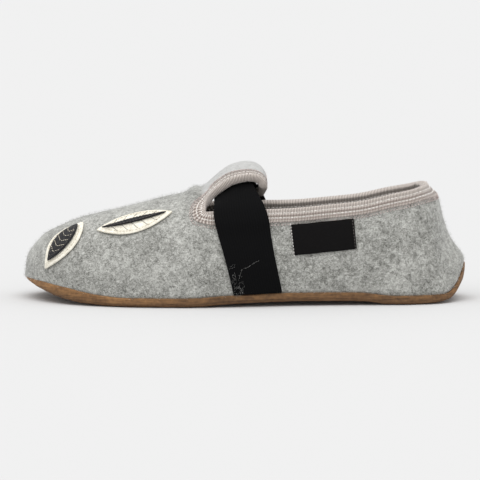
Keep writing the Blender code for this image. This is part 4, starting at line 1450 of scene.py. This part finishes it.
def settled(station, depth_share, rise, inside=False):
    """A point at a depth below the free edge and a height over the felt as it really lies."""
    read, side, place = station
    point, normal = read(side, place, tape_depth(station) * depth_share)
    away = normal
    if inside:
        point = point - normal * FELT
        away = -normal
    hit = felt_tree.ray_cast(Vector(point + away * SEARCH), Vector(-away), 2 * SEARCH)[0]
    base = point - away * PRESSED if hit is None else np.array(hit)
    return base + away * rise


def edge_line(depth_share, rise, inside=False):
    """A closed line along the free edge, at a depth below it and a height off the felt."""
    return [settled(station, depth_share, rise, inside) for station in STATIONS]

# %% The folded tape
def tape_profile(station):
    """One section of the tape: up the outside, over the roll and down the inside."""
    read, side, place = station
    edge, facing = read(side, place, 0.0)
    below = read(side, place, TAPE_DEPTH * 0.4)[0]
    beyond = (edge - below) / np.linalg.norm(edge - below)
    profile = [settled(station, fold.depth, fold.rise * MM) for fold in TAPE_OUTSIDE]
    outside = TAPE_OUTSIDE[-1].rise * MM - PRESSED
    inside = FELT + TAPE_INSIDE[0].rise * MM - PRESSED
    middle = (outside - inside) / 2
    reach = (outside + inside) / 2
    for angle in ROLL_ANGLES:
        across = facing * (middle + reach * math.cos(angle))
        profile.append(edge + across + beyond * ROLL_RISE * math.sin(angle))
    profile += [settled(station, fold.depth, fold.rise * MM, inside=True) for fold in TAPE_INSIDE]
    return profile


tape_rows = [tape_profile(station) for station in STATIONS]
edge_path = [row[len(TAPE_OUTSIDE)] for row in tape_rows]
tape_along = path_lengths(edge_path + edge_path[:1])
tape_across = path_lengths(tape_rows[0])
tape_mesh = grid_mesh("knit_binding", tape_rows, tape_along, tape_across, closed=True)
knit_binding = link_piece("knit_binding", tape_mesh, knit_tape)
face_out(knit_binding, (0, 0, 1))
add_wall(knit_binding, 0.5 * MM)
smooth_mesh(knit_binding, 1)
bake_modifiers(knit_binding)
hand_over(knit_binding, "knit_tape", "collar_binding")
print("tape length:", round(tape_along[-1] * 1000), "mm")

# %% [markdown]
# ### Rows of stitches
# A stitch is a short padded thread. The tree walks a line in equal steps and sets one on each, turned along the
# line. The same tree sews the two white rows outside, the row inside, and the seams of label and applique.

# %% A tree that sews
def line_mesh(name, points, closed=True):
    """A mesh of edges only, for a tree to walk along."""
    count = len(points)
    edges = [(k, (k + 1) % count) for k in range(count if closed else count - 1)]
    mesh = bpy.data.meshes.new(name)
    mesh.from_pydata([tuple(map(float, point)) for point in points], edges, [])
    return mesh


def stitch_tree():
    growth = Growth("stitches", Pitch=NUMBER, Length=NUMBER, Thick=NUMBER, Finish=MATERIAL)
    line = growth.node("GeometryNodeMeshToCurve", _0=growth.size("Geometry"))
    steps = growth.node("GeometryNodeResampleCurve", {"mode": "LENGTH"}, Curve=line, Length=growth.size("Pitch"))
    heading = growth.node("GeometryNodeInputTangent")
    facing = growth.node("FunctionNodeAlignRotationToVector", {"axis": "X"}, Vector=heading)
    thread = growth.node("GeometryNodeMeshUVSphere", Segments=7, Rings=5, Radius=0.5)
    size = growth.node("ShaderNodeCombineXYZ", X=growth.size("Length"), Y=growth.size("Thick"),
                       Z=growth.size("Thick"))
    spots = growth.node("GeometryNodeInstanceOnPoints", Points=steps, Instance=thread, Rotation=facing, Scale=size)
    return growth.finish(spots, growth.size("Finish"))


sewing = stitch_tree()


def sew(name, points, finish, slot, pitch, length, thick, closed=True):
    row = grow(name, line_mesh(name, points, closed), sewing, Pitch=pitch, Length=length, Thick=thick, Finish=finish)
    hand_over(row, slot)
    return row


# %% Sew the tape
STITCH_PITCH = 1.75 * MM
STITCH_LENGTH = 1.5 * MM
THREAD_THICK = 0.46 * MM
sew("first_tape_row", edge_line(FIRST_ROW, 0.80 * MM), white_thread, "knit_tape",
    STITCH_PITCH, STITCH_LENGTH, THREAD_THICK)
sew("second_tape_row", edge_line(SECOND_ROW, 0.72 * MM), white_thread, "knit_tape",
    STITCH_PITCH, STITCH_LENGTH, THREAD_THICK)
sew("inside_tape_row", edge_line(0.30, 0.96 * MM, inside=True), white_thread, "knit_tape",
    STITCH_PITCH, STITCH_LENGTH, THREAD_THICK)

# %% [markdown]
# ### The zigzag below the tape
# The lower edge of the tape is overcast: a pinkish thread zigzags between the tape and the felt. It is one
# unbroken thread, so it is a path with corners, swept by a round profile.

# %% A tree that sweeps a thread
def thread_tree():
    growth = Growth("thread", Radius=NUMBER, Sides=INTEGER, Finish=MATERIAL)
    line = growth.node("GeometryNodeMeshToCurve", _0=growth.size("Geometry"))
    ring = growth.node("GeometryNodeCurvePrimitiveCircle", Resolution=growth.size("Sides"),
                       Radius=growth.size("Radius"))
    tube = growth.node("GeometryNodeCurveToMesh", Curve=line, _1=ring, _3=True)
    return growth.finish(tube, growth.size("Finish"))


sweeping = thread_tree()


def sweep(name, points, finish, slot, radius, sides=5, closed=True):
    thread = grow(name, line_mesh(name, points, closed), sweeping, Radius=radius, Sides=sides, Finish=finish)
    hand_over(thread, slot)
    return thread


def along_line(line, closed_length, places):
    """Points of a closed line at given lengths along it."""
    ring = np.array(line + line[:1])
    lengths_along = path_lengths(ring) * closed_length / path_lengths(ring)[-1]
    return np.stack([np.interp(places, lengths_along, ring[:, k]) for k in range(3)], axis=1)


# %% Overcast the lower edge
ZIGZAG_PITCH = 1.5 * MM
ZIGZAG_TOP = 0.93
ZIGZAG_BOTTOM = 1.22


def zigzag(top, bottom, rise, pitch):
    count = int(tape_along[-1] / pitch)
    places = np.linspace(0, tape_along[-1], 2 * count, endpoint=False)
    upper_line = along_line(edge_line(top, 0.80 * MM), tape_along[-1], places)
    lower_line = along_line(edge_line(bottom, rise), tape_along[-1], places)
    upper_turn = (np.arange(len(places)) % 2 == 0)[:, None]
    return list(np.where(upper_turn, upper_line, lower_line))


sweep("overcast_seam", zigzag(ZIGZAG_TOP, ZIGZAG_BOTTOM, 0.18 * MM, ZIGZAG_PITCH), rose_thread, "knit_tape",
      0.13 * MM)
sew("overcast_dashes", edge_line(ZIGZAG_BOTTOM, 0.22 * MM), rose_thread, "knit_tape",
    ZIGZAG_PITCH, 0.9 * MM, 0.40 * MM)

# %% [markdown]
# ## The elastic strap
# A flat black elastic rises from the sole, runs over the tape, dives under the flap and comes down on the other
# side. It is a grid again: nine lines across, each following the felt's own function with a small clearance, so
# it hugs the felt. Its long ribs come from the UV map, its rounded selvedges from the wall and the subdivision.

# %% The strap's route
STRAP_ROOM = 0.3 * MM
STRAP_OVER_SOLE = 0.1 * MM
STRAP_TOP_SPREAD = 1.16
CROWN_SHIFT = 0.8 * MM
SELVEDGE = 0.9


def strap_x(across, z):
    """The strap's slanted run, seen from the side."""
    lean = (z - SOLE_EDGE) * math.tan(STRAP_TILT)
    return (STRAP_AT - 0.5) * LENGTH + across * math.cos(STRAP_TILT) - lean


def strap_route(across):
    """One lengthwise line of the strap's outer face, from the outer sole edge to the inner one."""
    rise = across * math.sin(STRAP_TILT)
    start = strap_x(across, SOLE_EDGE)
    low = rim_height(turn_of(start)) + STRAP_ABOVE_SOLE + max(rise, 0.0)
    edge_x = strap_x(across * STRAP_TOP_SPREAD, COLLAR_HEIGHT + rise)
    crown_x = strap_x(across * STRAP_TOP_SPREAD, INSTEP_HEIGHT) + CROWN_SHIFT
    edge_turn = turn_of(edge_x)
    over_tape = TAPE_GAP + TAPE_THICK + GAP + STRAP_THICK
    over_top = STRAP_ROOM + TAPE_GAP_INSIDE + TAPE_THICK + GAP + STRAP_THICK
    on_felt = GAP + STRAP_THICK
    top = collar(edge_turn)
    heights = list(np.linspace(low, top - STRAP_LIFT, 5))
    heights += [top - STRAP_LIFT_DONE, top - TAPE_DEPTH / 2]
    lines = {"outer": [], "inner": []}
    for side in SIDES:
        for z in heights:
            spread = between(1.0, STRAP_TOP_SPREAD, ease((z - low) / (top - low)) ** 2)
            x = strap_x(across * spread, z - rise)
            turn = turn_of(x)
            point, normal = wall_row(side, turn, collar(turn) - z)
            near_tape = ease((z - top + STRAP_LIFT) / (STRAP_LIFT - STRAP_LIFT_DONE))
            lines[side].append(point + normal * between(on_felt, over_tape, near_tape))
        lines[side].append(shoulder(side, edge_turn, over_top))
        lines[side] += under_flap(side, crown_x)
    crown = under_flap("outer", crown_x, middle=True)
    return lines["outer"] + crown + lines["inner"][::-1]


def shoulder(side, turn, offset):
    """Where the strap turns in over the tape's rolled top."""
    point, normal = wall_row(side, turn, 0.0)
    upwards = np.array([0.0, 0.0, 1.0])
    return point + (normal * math.cos(STRAP_SHOULDER) + upwards * math.sin(STRAP_SHOULDER)) * offset


def under_flap(side, x, middle=False):
    """Points of the strap's top face under the flap, a named clearance below it."""
    along = flap_along(x)
    clear = FELT + STRAP_ROOM + 2 * GAP
    width = flap_half_width(side) * smooth([r.along for r in FLAP], [r.width for r in FLAP], along)
    shares = [0.0] if middle else [1.0, 0.75, 0.5, 0.25]
    row = []
    for share in shares:
        y = SIDES[side] * width * share
        point = flap_point(along, y)
        slope = 2 * FLAP_CROWN * y / flap_half_width(side) ** 2
        normal = flap_up(along) + np.array([0.0, slope, 0.0])
        row.append(point - normal / np.linalg.norm(normal) * clear)
    return row


def flap_along(x):
    """The share along the flap's middle line at which it passes over this place."""
    shares = np.linspace(0, 0.6, 60)
    places = [flap_middle(share)[0] for share in shares]
    return float(np.interp(x, places, shares))


# %% The elastic
def with_square_ends(line):
    """Lengthen a line at both ends down to the sole's edge."""
    ends = []
    for end, inner in ((line[0], line[1]), (line[-1], line[-2])):
        down = (end - inner) / (inner[2] - end[2])
        drop = end[2] - rim_height(turn_of(end[0])) - STRAP_OVER_SOLE
        ends.append(end + down * drop)
    return [ends[0]] + line + [ends[1]]


def strap_rows():
    shares = (-1, -SELVEDGE, -0.6, -0.3, 0, 0.3, 0.6, SELVEDGE, 1)
    offsets = STRAP_WIDTH / 2 * np.array(shares)
    lines = [with_square_ends(strap_route(across)) for across in offsets]
    return offsets, [list(row) for row in zip(*lines)]


strap_offsets, strap_grid = strap_rows()
strap_along = path_lengths([row[4] for row in strap_grid])
strap_mesh = grid_mesh("elastic_band", strap_grid, strap_along, strap_offsets)
elastic_band = link_piece("elastic_band", strap_mesh, black_elastic)
face_out(elastic_band, (0, 0, 1))
add_wall(elastic_band, STRAP_THICK)
smooth_mesh(elastic_band, 3)
bake_modifiers(elastic_band)
hand_over(elastic_band, "black_elastic", "elastic_strap")

# %% [markdown]
# ### Lint
# Black elastic picks up wool. A few short curls lie near its lower front corner and one long loose hair crosses
# it. Each is a wandering line on the strap's face, swept by a very thin round profile.

# %% Lint and one loose hair
HAIR = 0.022 * MM
LINT_CURLS = 30
Spot = namedtuple("Spot", "x z")
LOOSE_HAIR = [Spot(-3.0, 12.0), Spot(-2.4, 14.0), Spot(-1.4, 17.0), Spot(0.6, 17.4), Spot(2.8, 18.6),
              Spot(4.2, 19.8), Spot(6.2, 20.4)]
LINT_MIDDLE = Spot(-3.6, 10.0)


def wall_spot(x, z, offset):
    """A point off the outer quarter's face at a place seen from the side."""
    turn = turn_of(x)
    z = min(z, collar(turn))
    point, normal = wall_row("outer", turn, collar(turn) - z)
    return point + normal * offset


def on_strap(spot):
    return wall_spot(spot.x * MM, spot.z * MM, GAP + STRAP_THICK + HAIR)


chance = random.Random(5)
sweep("loose_hair", [on_strap(spot) for spot in LOOSE_HAIR], lint_wool, "black_elastic", HAIR, 4, closed=False)
for number in range(LINT_CURLS):
    drop = chance.gauss(0, 3.2)
    place = Spot(LINT_MIDDLE.x - 0.22 * drop + chance.gauss(0, 1.0), LINT_MIDDLE.z + drop)
    curl = [Spot(place.x + chance.gauss(0, 0.8), place.z + chance.gauss(0, 0.8)) for step in range(3)]
    sweep(f"lint_{number:02d}", [on_strap(spot) for spot in curl], lint_wool, "black_elastic", HAIR, 3,
          closed=False)

# %% [markdown]
# ## The side label
# A small black woven label is caught under the overcast seam. It is left bare. Its upper edge is scalloped where
# the thread pulls it in, and a pale row of stitches holds its front end.

# %% A bare woven label
LABEL_COLUMNS = 41
LABEL_ROWS = 13
SCALLOP = 0.35 * MM
LABEL_DROP = 0.9 * MM


def label_grid():
    middle = (LABEL_AT - 0.5) * LENGTH
    columns = []
    for share in np.linspace(-0.5, 0.5, LABEL_COLUMNS):
        x = middle + LABEL_LENGTH * share
        scallop = SCALLOP * abs(math.sin(math.pi * share * LABEL_LENGTH / ZIGZAG_PITCH))
        top = collar(turn_of(x)) - TAPE_DEPTH - LABEL_DROP - scallop
        column = []
        for part in np.linspace(0, 1, LABEL_ROWS):
            move = LABEL_HEIGHT * part * LABEL_SLANT
            column.append(wall_spot(x + move, top - LABEL_HEIGHT * part, GAP + LABEL_THICK))
        columns.append(column)
    return columns


label_columns = label_grid()
label_mesh = grid_mesh("bare_label", label_columns, np.linspace(0, LABEL_LENGTH, LABEL_COLUMNS),
                       np.linspace(0, LABEL_HEIGHT, LABEL_ROWS))
bare_label = link_piece("bare_label", label_mesh, woven_label)
face_out(bare_label, (0, -1, 0))
add_wall(bare_label, LABEL_THICK)
smooth_mesh(bare_label, 1)
bake_modifiers(bare_label)
hand_over(bare_label, "woven_label", "side_label")
LIFT = np.array([0.0, -0.12, 0.0]) * MM
front_seam = [point + LIFT for point in label_columns[0]]
sew("label_front_seam", front_seam, white_thread, "woven_label", 1.3 * MM, 0.9 * MM, 0.34 * MM, closed=False)
back_seam = [point + LIFT for point in label_columns[-2]]
sew("label_back_seam", back_seam, dark_thread, "woven_label", 1.3 * MM, 1.0 * MM, 0.34 * MM, closed=False)

# %% [markdown]
# ## The applique
# Cut-out felt shapes decorate the vamp: here two plain leaves of cream felt with black felt on them. Each is a
# pointed grid laid on the vamp, with a rounded rim and a row of small stitches just inside it, and its side
# veins are sewn in thread.

# %% Leaves of felt
LEAF_STATIONS = 25
LEAF_COLUMNS = 9
LEAF_SEAM = 0.80


def leaf_half(leaf, share):
    return leaf.width / 2 * (1 - share**2) ** LEAF_FULLNESS


def leaf_rows(leaf, offset):
    rows = []
    for share in np.linspace(-0.995, 0.995, LEAF_STATIONS):
        half = leaf_half(leaf, share)
        columns = np.linspace(-1, 1, LEAF_COLUMNS)
        rows.append([leaf_point(leaf, leaf.length / 2 * share, half * part, offset) for part in columns])
    return rows


def leaf_seam(leaf, offset):
    """A closed line a little inside the leaf's outline."""
    shares = np.linspace(-0.97, 0.97, 30)
    ahead = [leaf_point(leaf, leaf.length / 2 * LEAF_SEAM * s, leaf_half(leaf, s) * LEAF_SEAM, offset)
             for s in shares]
    back = [leaf_point(leaf, leaf.length / 2 * LEAF_SEAM * s, -leaf_half(leaf, s) * LEAF_SEAM, offset)
            for s in shares[::-1]]
    return ahead + back


def make_leaf(leaf):
    offset = (leaf.layer + 1) * (GAP + APPLIQUE_THICK)
    rows = leaf_rows(leaf, offset)
    along = np.linspace(0, leaf.length, LEAF_STATIONS)
    mesh = grid_mesh(leaf.name + "_cut", rows, along, np.linspace(0, leaf.width, LEAF_COLUMNS))
    cream = leaf.material == "cream_felt"
    piece = link_piece(leaf.name + "_cut", mesh, cream_felt if cream else black_felt)
    face_out(piece, (0, 0, 1))
    add_wall(piece, APPLIQUE_THICK)
    smooth_mesh(piece, 1)
    bake_modifiers(piece)
    points = read_points(piece.data)
    points += read_normals(piece.data) * (lumps(points, 1.4 * MM, 5) * 0.12 * MM)[:, None]
    write_points(piece.data, points)
    hand_over(piece, leaf.material, leaf.name)
    thread = cream_thread if cream else dark_thread
    sew(leaf.name + "_seam", leaf_seam(leaf, offset + 0.08 * MM), thread, leaf.material,
        1.5 * MM, 1.1 * MM, 0.30 * MM)
    return piece


for leaf in LEAVES:
    make_leaf(leaf)

# %% Side veins of thread
VEIN_PAIRS = 5
VEIN_START = 0.14
VEIN_END = 0.66
VEIN_SWEEP = 0.16


def sew_veins(leaf, over, thread):
    """Slanted rows of stitches from the middle of a leaf towards its rim, in pairs."""
    offset = (leaf.layer + 1) * (GAP + APPLIQUE_THICK) + 0.1 * MM
    starts = np.linspace(-0.62, 0.42, VEIN_PAIRS)
    for number, share in enumerate(starts):
        for side in (-1, 1):
            line = []
            for part in np.linspace(VEIN_START, VEIN_END, 4):
                along = share + VEIN_SWEEP * part / VEIN_END
                line.append(leaf_point(leaf, leaf.length / 2 * along, side * part * leaf_half(leaf, along), offset))
            name = f"{over}_vein_{number}{'a' if side < 0 else 'b'}"
            sew(name, line, thread, leaf.material, 0.9 * MM, 0.8 * MM, 0.30 * MM, closed=False)


sew_veins(LEAVES[0], "vamp", dark_thread)
sew_veins(LEAVES[3], "toe", cream_thread)

# %% [markdown]
# ## The rubber sole
# The sole is a shallow tray: a curled underside with toe spring and arch, a low side that climbs at the toe and
# cups the heel, and a lip under the felt. Closed rings round the shoe are joined from the ground up to the
# floor inside. Its lower edge is rough, so its points are moved by noise, but never below the floor.

# %% Rings round the shoe
def station_turns():
    """The angles of all sections, from the toe to the heel, with one at the notch."""
    return list(np.linspace(0, NOTCH_TURN, VAMP_SECTIONS + 1)) + quarter_turns()


def round_the_shoe():
    """Side and angle of every point of a loop, outer side first, from the toe and back to it."""
    turns = station_turns()
    loop = [("outer", turn) for turn in turns]
    loop += [("inner", turn) for turn in turns[-2:0:-1]]
    return loop


def fill_across(points, faces, loop, height_at):
    """Close a loop round the shoe with cross strips whose height a function gives."""
    steps = ACROSS_STEPS
    half = len(loop) // 2
    before = [loop[0]] * (steps + 1)
    for k in range(1, half + 1):
        if k == half:
            row = [loop[half]] * (steps + 1)
        else:
            start = np.array(points[loop[k]])
            end = np.array(points[loop[-k]])
            middle = []
            for step in range(1, steps):
                point = between(start, end, step / steps)
                point[2] = height_at(point[0])
                middle.append(point)
            row = [loop[k]] + add_rows(points, [middle])[0] + [loop[-k]]
        strip(faces, before, row)
        before = row


def curl_height(turn):
    """How high the underside has come up where it meets the outline."""
    curl = between(SIDE_CURL, TOE_CURL, toe_part(turn))
    return between(curl, SIDE_CURL + HEEL_CUP, heel_part(turn))


def pulled_point(side, turn, inset, toe_pull, heel_pull):
    """A point inside the outline, drawn further back from the toe and the heel by a smooth amount."""
    x, y = outline_point(side, turn, inset)
    zone = END_ZONE * LENGTH
    from_toe = max(zone - LENGTH / 2 - x, 0.0) / zone
    from_heel = max(x - LENGTH / 2 + zone, 0.0) / zone
    return x + toe_pull * from_toe**2 - heel_pull * from_heel**2, y


def sole_ring(inset, toe_pull, heel_pull, height_at):
    ring = []
    for side, turn in round_the_shoe():
        x, y = pulled_point(side, turn, inset, toe_pull, heel_pull)
        ring.append(np.array([x, y, height_at(x, turn)]))
    return ring


def curled_ring(part):
    """A ring of the underside: part 0 is where it leaves the ground, part 1 is the outline."""

    def height_at(x, turn):
        roundness = between(1.0, HEEL_ROUNDNESS, heel_part(turn))
        return ground(x) + curl_height(turn) * (1 - (1 - part**2) ** roundness)

    left = 1 - part
    toe_pull = TOE_CURL_REACH - SIDE_CURL_REACH
    heel_pull = HEEL_CURL_REACH - SIDE_CURL_REACH
    return sole_ring(SIDE_CURL_REACH * left, toe_pull * left, heel_pull * left, height_at)


def floor_ring(clearance, level):
    """A ring inside the land that carries the felt, drawn in at the heel where the cup is deep."""
    inset = LAND + FLOOR_SLOPE
    heel_pull = HEEL_CURL_REACH - inset
    return sole_ring(inset + clearance, 0.0, heel_pull, lambda x, turn: ground(x) + level)

# %% The outsole
UNDERSIDE_PARTS = (0.0, 0.25, 0.45, 0.62, 0.75, 0.86, 0.95, 1.0)
LIP_ROUND = 0.35 * MM


def rim_ring(inset, drop):
    return sole_ring(inset, 0.0, 0.0, lambda x, turn: rim_height(turn) - drop)


def side_ring(part):
    """A level ring of the sole's side: part 0 at the curled edge, 1 at the rim."""
    def level(x, turn):
        low = ground(x) + curl_height(turn)
        return between(low, rim_height(turn) - LIP_ROUND, part)

    return sole_ring(0.0, 0.0, 0.0, level)


def sole_mesh():
    rings = [curled_ring(part) for part in UNDERSIDE_PARTS]
    rings += [side_ring(part) for part in (0.35, 0.7, 1.0)]
    rings += [rim_ring(LIP_ROUND * 0.3, LIP_ROUND * 0.3), rim_ring(LIP_ROUND, 0.0), rim_ring(LAND, 0.0)]
    rings.append(floor_ring(0.0, SOLE_FLOOR))
    points = []
    faces = []
    loops = add_rows(points, rings)
    for first, second in zip(loops, loops[1:]):
        strip(faces, first, second, closed=True)
    fill_across(points, faces, loops[0], ground)
    fill_across(points, faces, loops[-1], lambda x: ground(x) + SOLE_FLOOR)
    mesh = bpy.data.meshes.new("rubber_sole")
    mesh.from_pydata([tuple(map(float, point)) for point in points], [], faces)
    made = bmesh.new()
    made.from_mesh(mesh)
    bmesh.ops.recalc_face_normals(made, faces=made.faces)
    made.to_mesh(mesh)
    made.free()
    return mesh


rubber_sole = link_piece("rubber_sole", sole_mesh(), tan_rubber)
smooth_mesh(rubber_sole, 1)
bake_modifiers(rubber_sole)

# %% Rough edges and worn places
TOE_TAN_ENDS = -25 * MM


def roughen_sole(mesh):
    points = read_points(mesh)
    normals = read_normals(mesh)
    x, y, z = points.T
    rim = np.interp(x, lengths, rim_heights)
    base = np.interp(x, lengths, [ground(place) for place in lengths])
    low = 1 - np.clip((z - base) / (rim - base), 0, 1)
    edge = low * (normals[:, 2] > -0.8)
    rough = lumps(points, 4.5 * MM, 7) * 0.50 * MM * edge + lumps(points, 1.6 * MM, 8) * 0.25 * MM * low
    points += normals * rough[:, None]
    points[:, 2] = np.maximum(points[:, 2], 0.0)
    write_points(mesh, points)
    store_values(mesh, "low", low)
    store_values(mesh, "toe", eased((TOE_TAN_ENDS - x) / (30 * MM)))
    store_values(mesh, "tread", eased((-normals[:, 2] - 0.6) / 0.3) * (z < base + 1.5 * MM))


roughen_sole(rubber_sole.data)
hand_over(rubber_sole, "tan_rubber", "outsole")

# %% [markdown]
# ## The footbed
# Inside lies a soft felt footbed with a rounded edge. Little of it shows, but it closes the view into the shoe.

# %% A felt footbed
SOFT_EDGE = 0.5 * MM


def footbed_mesh():
    lower = SOLE_FLOOR + GAP
    upper = lower + INSOLE_THICK
    points = []
    faces = []
    levels = ((0.0, lower), (0.0, lower + SOFT_EDGE), (0.0, upper - SOFT_EDGE), (SOFT_EDGE, upper))
    loops = add_rows(points, [floor_ring(INSOLE_CLEAR + inset, level) for inset, level in levels])
    for first, second in zip(loops, loops[1:]):
        strip(faces, first, second, closed=True)
    fill_across(points, faces, loops[0], lambda x: ground(x) + lower)
    fill_across(points, faces, loops[-1], lambda x: ground(x) + upper)
    mesh = bpy.data.meshes.new("footbed")
    mesh.from_pydata([tuple(map(float, point)) for point in points], [], faces)
    made = bmesh.new()
    made.from_mesh(mesh)
    bmesh.ops.recalc_face_normals(made, faces=made.faces)
    made.to_mesh(mesh)
    made.free()
    return mesh


footbed = link_piece("footbed", footbed_mesh(), footbed_felt)
smooth_mesh(footbed, 1)
bake_modifiers(footbed)
bed_points = read_points(footbed.data)
bed_points += read_normals(footbed.data) * (lumps(bed_points, 9 * MM, 9) * 0.25 * MM)[:, None]
write_points(footbed.data, bed_points)
hand_over(footbed, "footbed_felt", "insole")

# %% [markdown]
# ## Floor, light and camera
# The slipper stands on a plain pale floor under an even white sky, with one very soft sun from above that makes
# the tops brighter than the sides. The floor glows a little, which keeps its shadow soft and light, and its
# glow is worked out so that it shows as bright as the sky. It lies a hair below the sole, so that the two
# flat faces never coincide. The camera is a long lens, six degrees above the floor, square to the outer side.

# %% The floor and the light
SKY = 0.879
SUN = 2.0
SUN_TILT = math.radians(16)
FLOOR_SIZE = 40.0
FLOOR_GREY = 0.585
FLOOR_GAP = 0.1 * MM
floor_glow = SKY - FLOOR_GREY * (SKY + SUN * math.cos(SUN_TILT) / math.pi)
floor_finish = Finish("pale_floor", Roughness=1.0, Emission_Strength=floor_glow)
floor_finish.shader.inputs["Emission Color"].default_value = colour(1.0, 1.0, 1.0)
floor_finish.shader.inputs["Specular IOR Level"].default_value = 0.0
floor_finish.done(colour(FLOOR_GREY, FLOOR_GREY, FLOOR_GREY))
bpy.ops.mesh.primitive_plane_add(size=FLOOR_SIZE, location=(0.0, 0.0, -FLOOR_GAP))
floor = bpy.context.active_object
floor.name = "floor"
floor.data.materials.append(floor_finish.material)
floor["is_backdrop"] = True

world = bpy.data.worlds.new("even_sky")
world.use_nodes = True
world.node_tree.nodes["Background"].inputs["Color"].default_value = colour(SKY, SKY, SKY)
bpy.context.scene.world = world
bpy.context.scene.view_settings.view_transform = "Standard"

sun_data = bpy.data.lights.new("soft_sun", "SUN")
sun_data.energy = SUN
sun_data.angle = math.radians(70)
sun = bpy.data.objects.new("soft_sun", sun_data)
sun.rotation_euler = (SUN_TILT, math.radians(-4), 0.0)
bpy.context.scene.collection.objects.link(sun)

# %% The camera
FRAME_PIXELS = 480
PIXEL = 0.4535 * MM
CAMERA_RISE = math.radians(6.0)
CAMERA_DISTANCE = 1500 * MM
AIM = Vector((-2.1, 0.0, 26.4)) * MM
SENSOR = 36.0
camera_data = bpy.data.cameras.new("camera")
camera_data.sensor_width = SENSOR
camera_data.lens = SENSOR * CAMERA_DISTANCE / (FRAME_PIXELS * PIXEL)
camera_data.clip_end = 100.0
camera = bpy.data.objects.new("camera", camera_data)
away = Vector((0.0, -math.cos(CAMERA_RISE), math.sin(CAMERA_RISE)))
camera.location = AIM + away * CAMERA_DISTANCE
camera.rotation_euler = (math.pi / 2 - CAMERA_RISE, 0.0, 0.0)
bpy.context.scene.collection.objects.link(camera)
bpy.context.scene.camera = camera

# %% [markdown]
# ## The sizes at the end
# The boxes of the solids and of the dressed slipper are written side by side, to see that nothing has outgrown
# its frame.

# %% The sizes side by side
def plain(box):
    return [[float(value) for value in corner] for corner in box]


{"cad": plain(cad_box), "visual": plain(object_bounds())}
